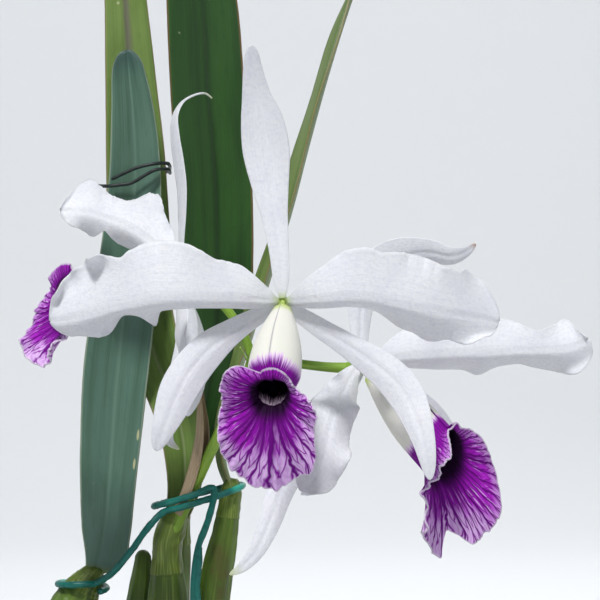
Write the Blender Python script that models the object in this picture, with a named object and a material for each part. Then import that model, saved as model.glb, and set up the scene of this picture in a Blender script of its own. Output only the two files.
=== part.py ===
"""A potted cattleya orchid with three white blooms whose lips are purple. Metres, +Z up.

The origin is the middle of the pot's foot, on the surface that the pot stands on.
The main bloom faces -Y, and +X is to its right as the viewer sees it. Places inside a
bloom are millimetre offsets from its heart, the point where all its tepals meet.
"""

import math
import random
from dataclasses import dataclass

import bmesh
import bpy
from mathutils import Matrix, Vector

MM = 0.001
TOUCH = 0.0003

# Pot and bark, in metres
POT_HEIGHT = 0.112
POT_RIM_RADIUS = 0.068
POT_COLLAR_RADIUS = 0.062
POT_FOOT_RADIUS = 0.046
POT_COLLAR_DEPTH = 0.024
POT_WALL = 0.0055
POT_FLOOR = 0.007
POT_SIDES = 32
DRAIN_RADIUS = 0.0045
DRAIN_RING = 0.026
DRAIN_COUNT = 4
BARK_TOP = 0.100
CHIP_COUNT = 30
CHIP_SIZE = (0.013, 0.009, 0.006)
CHIP_SEED = 5
CHIP_CLEARANCE = 0.0125

# Plant, in metres
RHIZOME_HEIGHT = 0.1052
RHIZOME_RADIUS = 0.0046
ROOT_RADIUS = 0.0019
ROOT_REACH = 0.050
ROOT_LIFT = 0.0026
TEPAL_THICKNESS = 0.0008
LIP_THICKNESS = 0.0007
LEAF_THICKNESS = 0.0018
SHEATH_THICKNESS = 0.0007
DRY_SHEATH_THICKNESS = 0.0006

# How soon a blade's halves fold beside its midrib, in metres, the share of the bend that lies
# there, the narrowest share of its width at the tip, and how its two edges wave
FOLD_LENGTH = 0.0022
FOLD_SHARE = 0.75
TIP_SHARE = 0.16
WAVE_LAG = 0.37
WAVE_START = 3

# How the parts of every bloom meet at its heart, in metres
SEPAL_SETBACK = 0.0005
PETAL_ADVANCE = 0.0012
RECEPTACLE_SETBACK = 0.0016
RECEPTACLE_RADIUS = 0.0023
BOSS_RADIUS = 0.0011
BOSS_GAP = 0.0005
TEPAL_START = 0.0016
TEPAL_FOOT_HALF_WIDTH = 0.0012
COLUMN_START = 0.0028
LIP_ADVANCE = 0.0045
LIP_DROP = 0.0026
LIP_TUBE_LENGTH = 0.044
LIP_BASE_RADIUS = 0.0031
LIP_BELLY_RADIUS = 0.0094
LIP_SEAM_HALF_GAP = math.radians(9)
LIP_BACK_CUT = 0.005

# How the grid of a lip crowds towards its front, where its tube stops swelling and where it
# starts to narrow, how much of the flare is a quick turn at the mouth, and the number of
# frills in half a turn
LIP_CROWDING = 0.4
LIP_SWELL_END = 0.76
LIP_NECK_START = 0.8
LIP_QUICK_TURN = 0.62
LIP_QUICK_PACE = 3
LIP_FRILLS = 4.5

WHITE = ("tepal white", (0.86, 0.87, 0.88), 0.45, 0.0)
PURPLE = ("lip purple", (0.32, 0.03, 0.36), 0.45, 0.0)
COLUMN_WHITE = ("column cream", (0.80, 0.84, 0.62), 0.4, 0.0)
STEM_GREEN = ("stem green", (0.28, 0.42, 0.10), 0.45, 0.0)
LEAF_DARK = ("leaf deep green", (0.06, 0.17, 0.04), 0.4, 0.0)
LEAF_BLUE = ("leaf blue green", (0.16, 0.27, 0.20), 0.45, 0.0)
LEAF_PALE = ("leaf pale green", (0.25, 0.36, 0.11), 0.45, 0.0)
BULB_GREEN = ("pseudobulb green", (0.26, 0.40, 0.07), 0.45, 0.0)
PAPERY = ("dry sheath", (0.50, 0.42, 0.31), 0.8, 0.0)
ROOT_GREY = ("root grey", (0.55, 0.53, 0.45), 0.8, 0.0)
BARK_BROWN = ("bark brown", (0.20, 0.11, 0.06), 0.9, 0.0)
TERRACOTTA = ("terracotta", (0.56, 0.24, 0.13), 0.85, 0.0)
TIE_TEAL = ("tie teal", (0.05, 0.36, 0.30), 0.4, 0.0)
TIE_BLACK = ("tie black", (0.02, 0.03, 0.03), 0.4, 0.0)

FRONT = Vector((0.0, -1.0, 0.0))
UP = Vector((0.0, 0.0, 1.0))
LEFT = Vector((-1.0, 0.0, 0.0))
SIDEWAYS = Vector((1.0, 0.0, 0.0))


@dataclass
class Blade:
    """A petal, sepal or leaf: a ribbon that follows rows of (x, y, z, first and second half-width) in mm.

    The first half lies on the side that first_side points to, and face is the way that
    the ribbon looks where it starts. Each bend is how far that half folds back from the
    face, in degrees, at even steps along the ribbon, and turn twists the ribbon.
    """

    name: str
    rows: list
    face: Vector = FRONT
    first_side: Vector = UP
    first_bend: tuple = (12, 18)
    second_bend: tuple = (12, 18)
    turn: tuple = (0, 0)
    wave: float = 0.0
    wave_count: float = 3.0
    tip_start: float = 0.86
    steps: int = 12
    across: int = 4
    thickness: float = TEPAL_THICKNESS
    finish: tuple = WHITE


@dataclass
class Lip:
    """The lip of a bloom: a tube rolled round the column that opens into a frilled lobe.

    axis is the tube's direction. Each reach lists how far the rim spreads from the mouth,
    in mm, and each flare how far it turns outwards, in degrees, from the front lobe in
    the middle to the hood on top: one pair for each side. The mouth has its own radius at
    the floor and round the rest, in metres, top_dip presses its top in, and top_setback
    is the share of the tube that is missing there.
    """

    axis: Vector
    first_reach: tuple
    second_reach: tuple
    first_flare: tuple
    second_flare: tuple
    frill: float = 1.6
    top_setback: float = 0.12
    neck_radius: float = LIP_BELLY_RADIUS
    floor_radius: float = LIP_BELLY_RADIUS
    top_dip: float = 0.0


@dataclass
class Bloom:
    """One flower: its heart in mm, the way that it looks, its tepals and its lip."""

    name: str
    heart: tuple
    facing: Vector
    sepals: list
    petals: list
    lip: Lip


def clear_scene():
    for old in list(bpy.data.objects):
        bpy.data.objects.remove(old, do_unlink=True)


def material_of(finish):
    name, colour, roughness, metallic = finish
    found = bpy.data.materials.get(name)
    if found:
        return found
    made = bpy.data.materials.new(name)
    made.use_nodes = True
    shader = made.node_tree.nodes["Principled BSDF"]
    shader.inputs["Base Color"].default_value = (*colour, 1.0)
    shader.inputs["Roughness"].default_value = roughness
    shader.inputs["Metallic"].default_value = metallic
    return made


def add_solid(name, bm, finish, smooth_shading=True):
    """Puts the bmesh in the scene as one object whose faces point outwards."""
    bmesh.ops.recalc_face_normals(bm, faces=bm.faces[:])
    mesh = bpy.data.meshes.new(name)
    bm.to_mesh(mesh)
    bm.free()
    if smooth_shading:
        mesh.shade_smooth()
    mesh.materials.append(material_of(finish))
    made = bpy.data.objects.new(name, mesh)
    bpy.context.scene.collection.objects.link(made)
    return made


def apply_modifiers(thing):
    """Keeps the mesh that the object's modifiers make, and drops the modifiers."""
    graph = bpy.context.evaluated_depsgraph_get()
    thing.data = bpy.data.meshes.new_from_object(thing.evaluated_get(graph))
    thing.modifiers.clear()


def fuse(base, others, operation="UNION"):
    """Joins the other objects to base, or cuts them from it, and removes them."""
    group = bpy.data.collections.new(base.name + "_pieces")
    bpy.context.scene.collection.children.link(group)
    for other in others:
        bpy.context.scene.collection.objects.unlink(other)
        group.objects.link(other)
    boolean = base.modifiers.new("fuse", "BOOLEAN")
    boolean.operation = operation
    boolean.operand_type = "COLLECTION"
    boolean.collection = group
    boolean.solver = "EXACT"
    apply_modifiers(base)
    for other in others:
        bpy.data.objects.remove(other, do_unlink=True)
    bpy.data.collections.remove(group)
    return base


def smooth(rows, share):
    """The values at a share from 0 to 1 of the way along rows, on a smooth curve through them."""
    place = max(0.0, min(1.0, share)) * (len(rows) - 1)
    i = min(int(place), len(rows) - 2)
    t = place - i
    before, start = rows[max(i - 1, 0)], rows[i]
    end, after = rows[i + 1], rows[min(i + 2, len(rows) - 1)]
    return [
        b + 0.5 * t * (c - a + t * (2 * a - 5 * b + 4 * c - d + t * (3 * (b - c) + d - a)))
        for a, b, c, d in zip(before, start, end, after)
    ]


def eased(low, high, value):
    """How far the value has gone from low to high, easing in and out."""
    share = min(1.0, max(0.0, (value - low) / (high - low)))
    return share * share * (3 - 2 * share)


def smooth_value(values, share):
    return smooth([(value,) for value in values], share)[0]


def carried_frames(points, face):
    """For each point of a path, its tangent and the face direction carried along without twisting."""
    frames = []
    tangent = (points[1] - points[0]).normalized()
    normal = (face - face.dot(tangent) * tangent).normalized()
    for i, _ in enumerate(points):
        ahead = points[min(i + 1, len(points) - 1)] - points[max(i - 1, 0)]
        ahead.normalize()
        normal = tangent.rotation_difference(ahead) @ normal
        normal = (normal - normal.dot(ahead) * ahead).normalized()
        tangent = ahead
        frames.append((tangent.copy(), normal.copy()))
    return frames


def half_section(width, bend, share, parts=8):
    """How far out and how far back a point lies, at a share of a half-width that bends back."""
    out = back = 0.0
    for part in range(parts):
        reached = share * (part + 0.5) / parts
        folded = 1 - math.exp(-reached * width / FOLD_LENGTH)
        angle = math.radians(bend) * (FOLD_SHARE * folded + (1 - FOLD_SHARE) * reached)
        out += width * share / parts * math.cos(angle)
        back += width * share / parts * math.sin(angle)
    return out, back


def tip_rounding(share, start):
    """A factor that rounds a blade's outline to a blunt tip."""
    if share <= start:
        return 1.0
    inside = (share - start) / (1 - start)
    return max(TIP_SHARE, math.sqrt(max(0.0, 1 - inside * inside)))


def blade_grid(blade, rows):
    """A flat grid bent into the blade's middle surface."""
    points = [Vector(smooth(rows, i / blade.steps)[:3]) * MM for i in range(blade.steps + 1)]
    frames = carried_frames(points, blade.face)
    bm = bmesh.new()
    bmesh.ops.create_grid(bm, x_segments=blade.steps, y_segments=blade.across, size=0.5)
    tangent, normal = frames[0]
    across_start = tangent.cross(normal)
    sign = 1.0 if across_start.dot(blade.first_side) > 0 else -1.0
    for vertex in bm.verts:
        share, side = vertex.co.x + 0.5, vertex.co.y * 2
        step = round(share * blade.steps)
        tangent, normal = frames[step]
        twist = Matrix.Rotation(math.radians(smooth_value(blade.turn, share)), 3, tangent)
        normal = twist @ normal
        across = sign * tangent.cross(normal)
        row = smooth(rows, share)
        bends = blade.first_bend if side > 0 else blade.second_bend
        width = max(0.9, row[3] if side > 0 else row[4]) * MM * tip_rounding(share, blade.tip_start)
        out, back = half_section(width, smooth_value(bends, share), abs(side))
        lag = 0.0 if side > 0 else WAVE_LAG
        wave_angle = 2 * math.pi * (blade.wave_count * share + lag)
        ripple = blade.wave * MM * side * side * math.sin(wave_angle)
        ripple *= min(1.0, WAVE_START * share)
        vertex.co = (
            points[step] + across * math.copysign(out, side) - normal * back + normal * ripple
        )
    bmesh.ops.triangulate(bm, faces=bm.faces[:], quad_method="FIXED")
    return bm


def add_blade(blade, rows):
    made = add_solid(blade.name, blade_grid(blade, rows), blade.finish)
    solidify = made.modifiers.new("thickness", "SOLIDIFY")
    solidify.thickness = blade.thickness
    solidify.offset = 0.0
    return made


def wrapped(steps, sides, place):
    """A closed skin: place(share along, angle round) gives each point, and both ends are capped."""
    bm = bmesh.new()
    bmesh.ops.create_grid(bm, x_segments=steps, y_segments=sides, size=0.5)
    for vertex in bm.verts:
        turn = (round((vertex.co.y + 0.5) * sides) % sides) / sides
        vertex.co = place(vertex.co.x + 0.5, 2 * math.pi * turn)
    bmesh.ops.remove_doubles(bm, verts=bm.verts[:], dist=1e-7)
    rim = [edge for edge in bm.edges if edge.is_boundary]
    bmesh.ops.holes_fill(bm, edges=rim, sides=sides)
    return bm


def stalk(rows, sides, steps, reference, ridges=0, relief=0.0, blunt=0.0):
    """A round stalk along rows of (x, y, z, radius) in mm, ridged lengthwise and round-ended."""

    def place(share, angle):
        x, y, z, radius = smooth(rows, share)
        ahead = Vector(smooth(rows, min(1.0, share + 0.01))[:3])
        tangent = (ahead - Vector(smooth(rows, max(0.0, share - 0.01))[:3])).normalized()
        side = tangent.cross(reference).normalized()
        radius *= 1 + relief * math.cos(ridges * angle)
        if blunt and not blunt <= share <= 1 - blunt:
            inside = (blunt - min(share, 1 - share)) / blunt
            radius *= math.sqrt(1 - 0.85 * inside * inside)
        out = math.cos(angle) * side + math.sin(angle) * side.cross(tangent)
        return (Vector((x, y, z)) + radius * out) * MM

    return wrapped(steps, sides, place)


def turned(profile, sides):
    """A solid of revolution about Z, from a closed profile of (radius, height)."""
    bm = bmesh.new()
    corners = [bm.verts.new((radius, 0.0, height)) for radius, height in profile]
    edges = [bm.edges.new(pair) for pair in zip(corners, corners[1:])]
    bmesh.ops.spin(
        bm,
        geom=corners + edges,
        cent=(0, 0, 0),
        axis=(0, 0, 1),
        angle=2 * math.pi,
        steps=sides,
        use_merge=True,
    )
    bmesh.ops.remove_doubles(bm, verts=bm.verts[:], dist=1e-6)
    return bm


def pot_inner_radius(height):
    """The pot's inner radius at a height above its foot."""
    top = POT_COLLAR_RADIUS - POT_WALL
    bottom = POT_FOOT_RADIUS - POT_WALL
    return bottom + (top - bottom) * height / POT_HEIGHT


def add_pot():
    """A plain clay pot with a collar, and a ring of drain holes in its floor."""
    collar_foot = POT_HEIGHT - POT_COLLAR_DEPTH
    lip_round = 0.0015
    profile = [
        (0.0, 0.0),
        (POT_FOOT_RADIUS - lip_round, 0.0),
        (POT_FOOT_RADIUS, lip_round),
        (POT_COLLAR_RADIUS, collar_foot),
        (POT_RIM_RADIUS - lip_round, collar_foot + lip_round),
        (POT_RIM_RADIUS, POT_HEIGHT - lip_round),
        (POT_RIM_RADIUS - lip_round, POT_HEIGHT),
        (pot_inner_radius(POT_HEIGHT) + lip_round, POT_HEIGHT),
        (pot_inner_radius(POT_HEIGHT), POT_HEIGHT - lip_round),
        (pot_inner_radius(POT_FLOOR), POT_FLOOR),
        (0.0, POT_FLOOR),
    ]
    pot = add_solid("pot", turned(profile, POT_SIDES), TERRACOTTA)
    drills = []
    for i in range(DRAIN_COUNT):
        angle = 2 * math.pi * (i + 0.5) / DRAIN_COUNT
        bm = bmesh.new()
        bmesh.ops.create_cone(
            bm,
            cap_ends=True,
            segments=12,
            radius1=DRAIN_RADIUS,
            radius2=DRAIN_RADIUS,
            depth=4 * POT_FLOOR,
            matrix=Matrix.Translation(
                (DRAIN_RING * math.cos(angle), DRAIN_RING * math.sin(angle), 0)
            ),
        )
        drills.append(add_solid("drill", bm, TERRACOTTA))
    return fuse(pot, drills, "DIFFERENCE")


def add_bark(keep_clear):
    """The bark that fills the pot, with loose chips on top, clear of the points in keep_clear."""
    low = POT_FLOOR + TOUCH
    profile = [
        (0.0, low),
        (pot_inner_radius(low) - TOUCH, low),
        (pot_inner_radius(BARK_TOP) - TOUCH, BARK_TOP),
        (0.0, BARK_TOP),
    ]
    bark = add_solid("bark_medium", turned(profile, POT_SIDES), BARK_BROWN, False)
    draw = random.Random(CHIP_SEED)
    edge = pot_inner_radius(BARK_TOP) - 0.6 * CHIP_SIZE[0]
    chips = []
    while len(chips) < CHIP_COUNT:
        radius, angle = edge * math.sqrt(draw.random()), 2 * math.pi * draw.random()
        place = Vector((radius * math.cos(angle), radius * math.sin(angle), BARK_TOP))
        if min((place.xy - point.xy).length for point in keep_clear) < CHIP_CLEARANCE:
            continue
        bm = bmesh.new()
        bmesh.ops.create_cube(bm, size=1.0)
        bmesh.ops.scale(bm, vec=Vector(CHIP_SIZE) * draw.uniform(0.75, 1.15), verts=bm.verts[:])
        tilt = Matrix.Rotation(draw.uniform(-0.35, 0.35), 4, "X")
        spin = Matrix.Rotation(draw.uniform(0, math.pi), 4, "Z")
        bmesh.ops.transform(bm, matrix=Matrix.Translation(place) @ spin @ tilt, verts=bm.verts[:])
        chips.append(add_solid("chip", bm, BARK_BROWN, False))
    return fuse(bark, chips)


def root_rows(start, angle, sway):
    """A root that runs out over the bark from a point on the rhizome, in mm."""
    rest = (BARK_TOP + ROOT_LIFT) / MM
    reach, radius = ROOT_REACH / MM, ROOT_RADIUS / MM
    foot = Vector((start[0], start[1]))
    end = Vector((reach * math.cos(angle), reach * math.sin(angle)))
    bow = (end - foot).orthogonal().normalized() * sway
    rows = [(foot.x, foot.y, RHIZOME_HEIGHT / MM, radius)]
    for share in (0.2, 0.4, 0.6, 0.8, 1.0):
        middle = foot.lerp(end, share) + bow * math.sin(math.pi * share)
        rows.append((middle.x, middle.y, rest, radius * (1 - 0.25 * share)))
    return rows


RHIZOME_RUN = [(-44, 9), (-34, 6), (-24, 10), (-14, 13), (-6, 9), (2, 4), (9, 0), (16, -2), (25, -4)]
RHIZOME_BRANCH = [(-12, 12), (-6, 19), (0, 24), (7, 27)]
ROOTS = [
    ((-34, 6), math.radians(160), 5),
    ((-34, 6), math.radians(205), -6),
    ((-14, 13), math.radians(125), 6),
    ((-14, 13), math.radians(235), 5),
    ((2, 4), math.radians(262), -7),
    ((14, -2), math.radians(300), 6),
    ((16, -2), math.radians(345), -5),
    ((0, 24), math.radians(70), 5),
    ((10, 0), math.radians(22), -7),
]


def add_rhizome():
    """The creeping stem that carries the pseudobulbs, its branch and the roots, grown in one."""
    height, radius = RHIZOME_HEIGHT / MM, RHIZOME_RADIUS / MM
    run = [(x, y, height, radius) for x, y in RHIZOME_RUN]
    branch = [(x, y, height, radius * 0.93) for x, y in RHIZOME_BRANCH]
    base = add_solid("rhizome_and_roots", stalk(run, 8, 16, UP, blunt=0.06), ROOT_GREY)
    pieces = [add_solid("branch", stalk(branch, 8, 6, UP, blunt=0.1), ROOT_GREY)]
    for start, angle, sway in ROOTS:
        bm = stalk(root_rows(start, angle, sway), 6, 7, UP, blunt=0.08)
        pieces.append(add_solid("root", bm, ROOT_GREY))
    return fuse(base, pieces)


BULBS = {
    "pseudobulb_left": [
        (-34, 6, 110.5, 4.0), (-38, 6, 135, 6.0), (-42, 6.5, 165, 8.6), (-43, 7, 190, 10.4),
        (-41, 7, 208, 10.6), (-36.5, 7, 220, 8.4), (-31, 7, 229, 4.6),
    ],
    "pseudobulb_centre": [
        (2, 3, 110.5, 4.0), (1, 3, 135, 6.0), (0, 3.5, 165, 8.3), (0, 4, 190, 9.2),
        (1, 4, 213, 8.8), (1, 4, 230, 6.6), (0, 4, 242, 4.8),
    ],
    "pseudobulb_right": [
        (15, -2, 110.5, 4.0), (16, -2.5, 140, 5.4), (18, -3, 172, 6.3), (19, -2.5, 202, 6.6),
        (22, -1, 228, 6.5), (26, 0, 250, 5.0), (28, 1, 265, 3.9),
    ],
    "pseudobulb_rear": [
        (0, 24, 110.5, 4.0), (0, 25, 140, 5.6), (0, 25.5, 170, 7.2), (1, 25.5, 200, 7.5),
        (3, 24, 230, 6.4), (5, 22, 257, 4.2),
    ],
    "pseudobulb_old": [
        (-14, 14, 110.5, 3.8), (-16, 15, 140, 5.2), (-16, 15.5, 170, 6.0), (-14, 16, 200, 5.9),
        (-11, 16, 222, 5.0), (-10, 16, 238, 2.6),
    ],
}
BULB_RIDGES = 6
BULB_RELIEF = 0.05
DRY_SHEATH_SPAN = {
    "pseudobulb_left": (0.14, 0.56),
    "pseudobulb_centre": (0.14, 0.50),
    "pseudobulb_right": (0.12, 0.46),
    "pseudobulb_rear": (0.15, 0.52),
}


def add_bulb(name, rows):
    """A ridged, spindle-shaped pseudobulb that stands on the rhizome."""
    bm = stalk(rows, 12, 9, FRONT, BULB_RIDGES, BULB_RELIEF, blunt=0.05)
    return add_solid(name, bm, BULB_GREEN)


def add_sheath(name, rows, middle, opening, finish, thickness, steps, columns):
    """A thin sheet rolled round rows of (x, y, z, radius) in mm, up to the opening angle on each side.

    middle points to the middle of the sheet, so its gap is on the other side.
    """
    bm = bmesh.new()
    bmesh.ops.create_grid(bm, x_segments=steps, y_segments=columns, size=0.5)
    for vertex in bm.verts:
        share, angle = vertex.co.x + 0.5, 2 * vertex.co.y * opening
        x, y, z, radius = smooth(rows, share)
        ahead = Vector(smooth(rows, min(1.0, share + 0.01))[:3])
        tangent = (ahead - Vector(smooth(rows, max(0.0, share - 0.01))[:3])).normalized()
        outwards = (middle - middle.dot(tangent) * tangent).normalized()
        outwards = math.cos(angle) * outwards + math.sin(angle) * tangent.cross(outwards)
        vertex.co = (Vector((x, y, z)) + radius * outwards) * MM
    bmesh.ops.triangulate(bm, faces=bm.faces[:], quad_method="FIXED")
    made = add_solid(name, bm, finish)
    solidify = made.modifiers.new("thickness", "SOLIDIFY")
    solidify.thickness = thickness
    solidify.offset = 0.0
    return made


def add_dry_sheath(name, bulb, span):
    """The papery sheath that wraps the lower part of a pseudobulb and splits at the back."""
    start, end = span
    rows = []
    for part in range(5):
        x, y, z, radius = smooth(bulb, start + (end - start) * part / 4)
        rows.append((x, y, z, radius * (1 + BULB_RELIEF) + 0.7 + 0.5 * (part / 4) ** 2))
    opening = math.radians(168)
    add_sheath(name, rows, FRONT, opening, PAPERY, DRY_SHEATH_THICKNESS, 5, 12)


LEAVES = [
    Blade(
        "leaf_left",
        [
            (-30, 7, 230, 4, 4), (-28.5, 7.5, 236, 5.8, 13.2), (-26.2, 8.2, 247, 10, 13),
            (-24.6, 9, 262, 12.2, 12.8), (-23, 10, 285, 14, 13.5),
            (-21, 10.5, 311, 15, 14.5), (-17.5, 10.5, 341, 14.5, 14), (-14.5, 10, 371, 13, 13),
            (-13, 10, 400, 11.2, 11.5), (-14, 10, 424, 9.4, 9.6), (-15.5, 9.5, 440, 7.6, 7.4),
            (-16.5, 9, 451, 5, 5),
        ],
        tip_start=0.93,
    ),
    Blade(
        "leaf_centre",
        [
            (0, 4, 243.6, 4, 4), (5, 5, 254, 5.5, 5.5), (8, 8, 268, 8, 8), (7, 12, 286, 10, 9.5),
            (2, 17, 304, 11.5, 10.5), (-5, 22, 320, 13, 12), (-11, 27, 342, 14, 13),
            (-13, 32, 372, 14.5, 14), (-15, 35, 405, 13.5, 13.5), (-17, 37, 435, 11.8, 12),
            (-19, 38, 467, 10, 10), (-21, 38, 496, 8, 8), (-22, 37, 518, 4.5, 4.5),
        ],
    ),
    Blade(
        "leaf_rear",
        [
            (5, 22, 258, 4, 4), (8, 24, 269, 6.5, 6.5), (13, 27, 286, 10.5, 10.5),
            (18, 29, 309, 14.5, 13.5), (21, 30, 338, 16.5, 16), (21, 30, 368, 17.5, 17),
            (20, 30, 400, 17.5, 17), (17, 31, 434, 17, 17), (15, 33, 466, 16.5, 16.5),
            (12, 35, 500, 14, 14), (9.5, 38, 524, 10, 10), (9, 39, 536, 5, 5),
        ],
        tip_start=0.90,
    ),
    Blade(
        "leaf_right",
        [
            (28, 1, 266.6, 3.8, 3.8), (24.6, 3, 277, 5.5, 5.5), (25, 5, 291, 7.5, 7.5),
            (29.6, 4.5, 310, 9, 9), (36, 3.5, 330, 10.5, 10.5), (44.4, 3, 357, 11, 11),
            (52.4, 3, 382, 11, 11), (59.4, 5, 409, 10, 10), (66.4, 8, 435, 9, 9),
            (73.8, 12, 460, 7, 7), (81.6, 17, 484, 3, 3),
        ],
        face=Vector((-0.97, -0.24, 0.0)),
    ),
]
LEAF_FINISHES = [LEAF_BLUE, LEAF_PALE, LEAF_DARK, LEAF_PALE]
LEAF_KEELS = [(-38, -30, -24, -20), (-38, -30, -24, -20), (-38, -30, -24, -20), (-30, -24, -20, -16)]


def add_leaves():
    """The strap leaves, each folded forwards along its midrib."""
    for leaf, finish, keel in zip(LEAVES, LEAF_FINISHES, LEAF_KEELS):
        leaf.first_side = LEFT if leaf.face == FRONT else FRONT
        leaf.first_bend = leaf.second_bend = keel
        leaf.steps = 14
        leaf.thickness = LEAF_THICKNESS
        leaf.finish = finish
        add_blade(leaf, leaf.rows)


FLOWER_SHEATH = [
    (7.4, -2.0, 255.5, 3.7), (11.2, -3.7, 264, 3.9), (14.2, -5.6, 273, 4.0), (16.4, -7.4, 283, 3.7),
    (16.9, -8.6, 294, 2.8), (15.8, -9.2, 308, 1.3),
]
FLOWER_SHEATH_SIDE = Vector((-0.85, 0.30, 0.0))
FLOWER_SHEATH_OPENING = math.radians(112)


BLOOM_FRONT = Bloom(
    "front",
    (50.5, -88, 344),
    FRONT,
    sepals=[
        Blade(
            "dorsal_sepal",
            [
                (-0.6, 1.2, 9, 3.0, 3.0), (-1.6, 3.2, 21, 3.9, 3.9), (-3.3, 5.5, 34, 5.2, 5.2),
                (-5.0, 7.0, 46, 7.4, 7.4), (-6.2, 7.4, 57.5, 9.2, 9.0), (-7.8, 6.4, 69, 8.4, 8.2),
                (-9.8, 4.8, 79, 5.8, 5.2), (-11.2, 2.2, 89, 3.8, 3.4), (-11.7, 0, 97, 2.2, 2.0),
            ],
            first_side=LEFT,
            tip_start=0.92,
        ),
        Blade(
            "left_lateral_sepal",
            [
                (-6.4, 1.6, -3.6, 2.7, 2.7), (-12.0, 2.6, -6.5, 3.7, 3.7), (-19.3, 3.4, -11, 4.9, 4.9),
                (-27.0, 3.4, -16.8, 6.6, 6.6), (-33.6, 2.4, -24, 7.4, 7.4), (-38.6, 0.4, -32, 7.5, 7.3),
                (-42, -1.6, -40.4, 6.3, 6.1), (-45.2, -2.6, -48.6, 4.1, 4.1), (-47.6, -2, -55.6, 2, 2),
            ],
            tip_start=0.92,
        ),
        Blade(
            "right_lateral_sepal",
            [
                (5.6, 1.6, -4.0, 2.8, 2.8), (14.5, 2.6, -9.8, 3.8, 3.8), (24, 2.6, -15.8, 4.6, 4.6),
                (33.6, 1.2, -22.2, 6.0, 6.0), (41.6, -1.2, -28.8, 7.0, 7.0), (46.8, -4, -36, 6.9, 6.9),
                (50, -7.6, -43.6, 5.8, 5.8), (52.4, -10.4, -51.6, 4.4, 4.4),
                (53.8, -12, -59, 3.1, 3.1), (54.6, -12.4, -65.6, 1.6, 1.6),
            ],
            tip_start=0.92,
        ),
    ],
    petals=[
        Blade(
            "left_petal",
            [
                (-7.9, -1.2, 1.0, 6.4, 4.5), (-16.2, -3, 1.6, 12.5, 10), (-25.2, -4, 1.7, 16.4, 14),
                (-34.6, -4, 1.6, 20.4, 16), (-44.2, -3, 1.2, 22.4, 17), (-53.8, -1, 0, 21, 15.4),
                (-63.4, 2, -2.2, 19.4, 13), (-73, 5, -4.5, 18.6, 12.5), (-81, 7.6, -6.2, 15.5, 9.5),
                (-88.6, 10, -7.4, 8, 6),
            ],
            first_bend=(6, 10, 12, 16, 26),
            second_bend=(60, 90, 98, 92, 57, 38),
            wave=1.6,
            wave_count=3.4,
            tip_start=0.9,
            steps=16,
            across=6,
        ),
        Blade(
            "right_petal",
            [
                (7.5, -1.2, 1.0, 6.4, 4.5), (15.8, -3, 1.6, 12.5, 10), (25.2, -4, 2, 18.4, 14),
                (35.4, -4, 1.2, 19.4, 16), (45, -3, -0.8, 19.8, 16.4), (54.6, -1, -2.8, 18.8, 14.5),
                (64.2, 2, -4.4, 16.4, 12.5), (73.8, 6, -5.9, 15.2, 10.5), (82, 9.6, -7.6, 6.5, 6.5),
            ],
            first_bend=(6, 10, 12, 16, 26),
            second_bend=(60, 90, 97, 68, 20, 16),
            wave=1.6,
            wave_count=3.1,
            tip_start=0.9,
            steps=16,
            across=6,
        ),
    ],
    lip=Lip(
        Vector((-0.08, -0.763, -0.643)),
        first_reach=(33.4, 33, 31, 26, 20, 15, 13.5, 15, 15.5, 16, 4.6, 5.5, 6),
        second_reach=(33.4, 31, 29.5, 18, 15, 9.5, 4, 2.4, 2.8, 3.5, 4.8, 5.8, 6),
        first_flare=(80, 82, 84, 90, 96, 102, 104, 106, 106, 108, 114, 120, 122),
        second_flare=(80, 82, 84, 90, 96, 104, 108, 110, 114, 118, 120, 122, 122),
        frill=1.0,
        top_setback=0.02,
        neck_radius=0.0058,
        floor_radius=0.0058,
        top_dip=0.0014,
    ),
)

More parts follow.
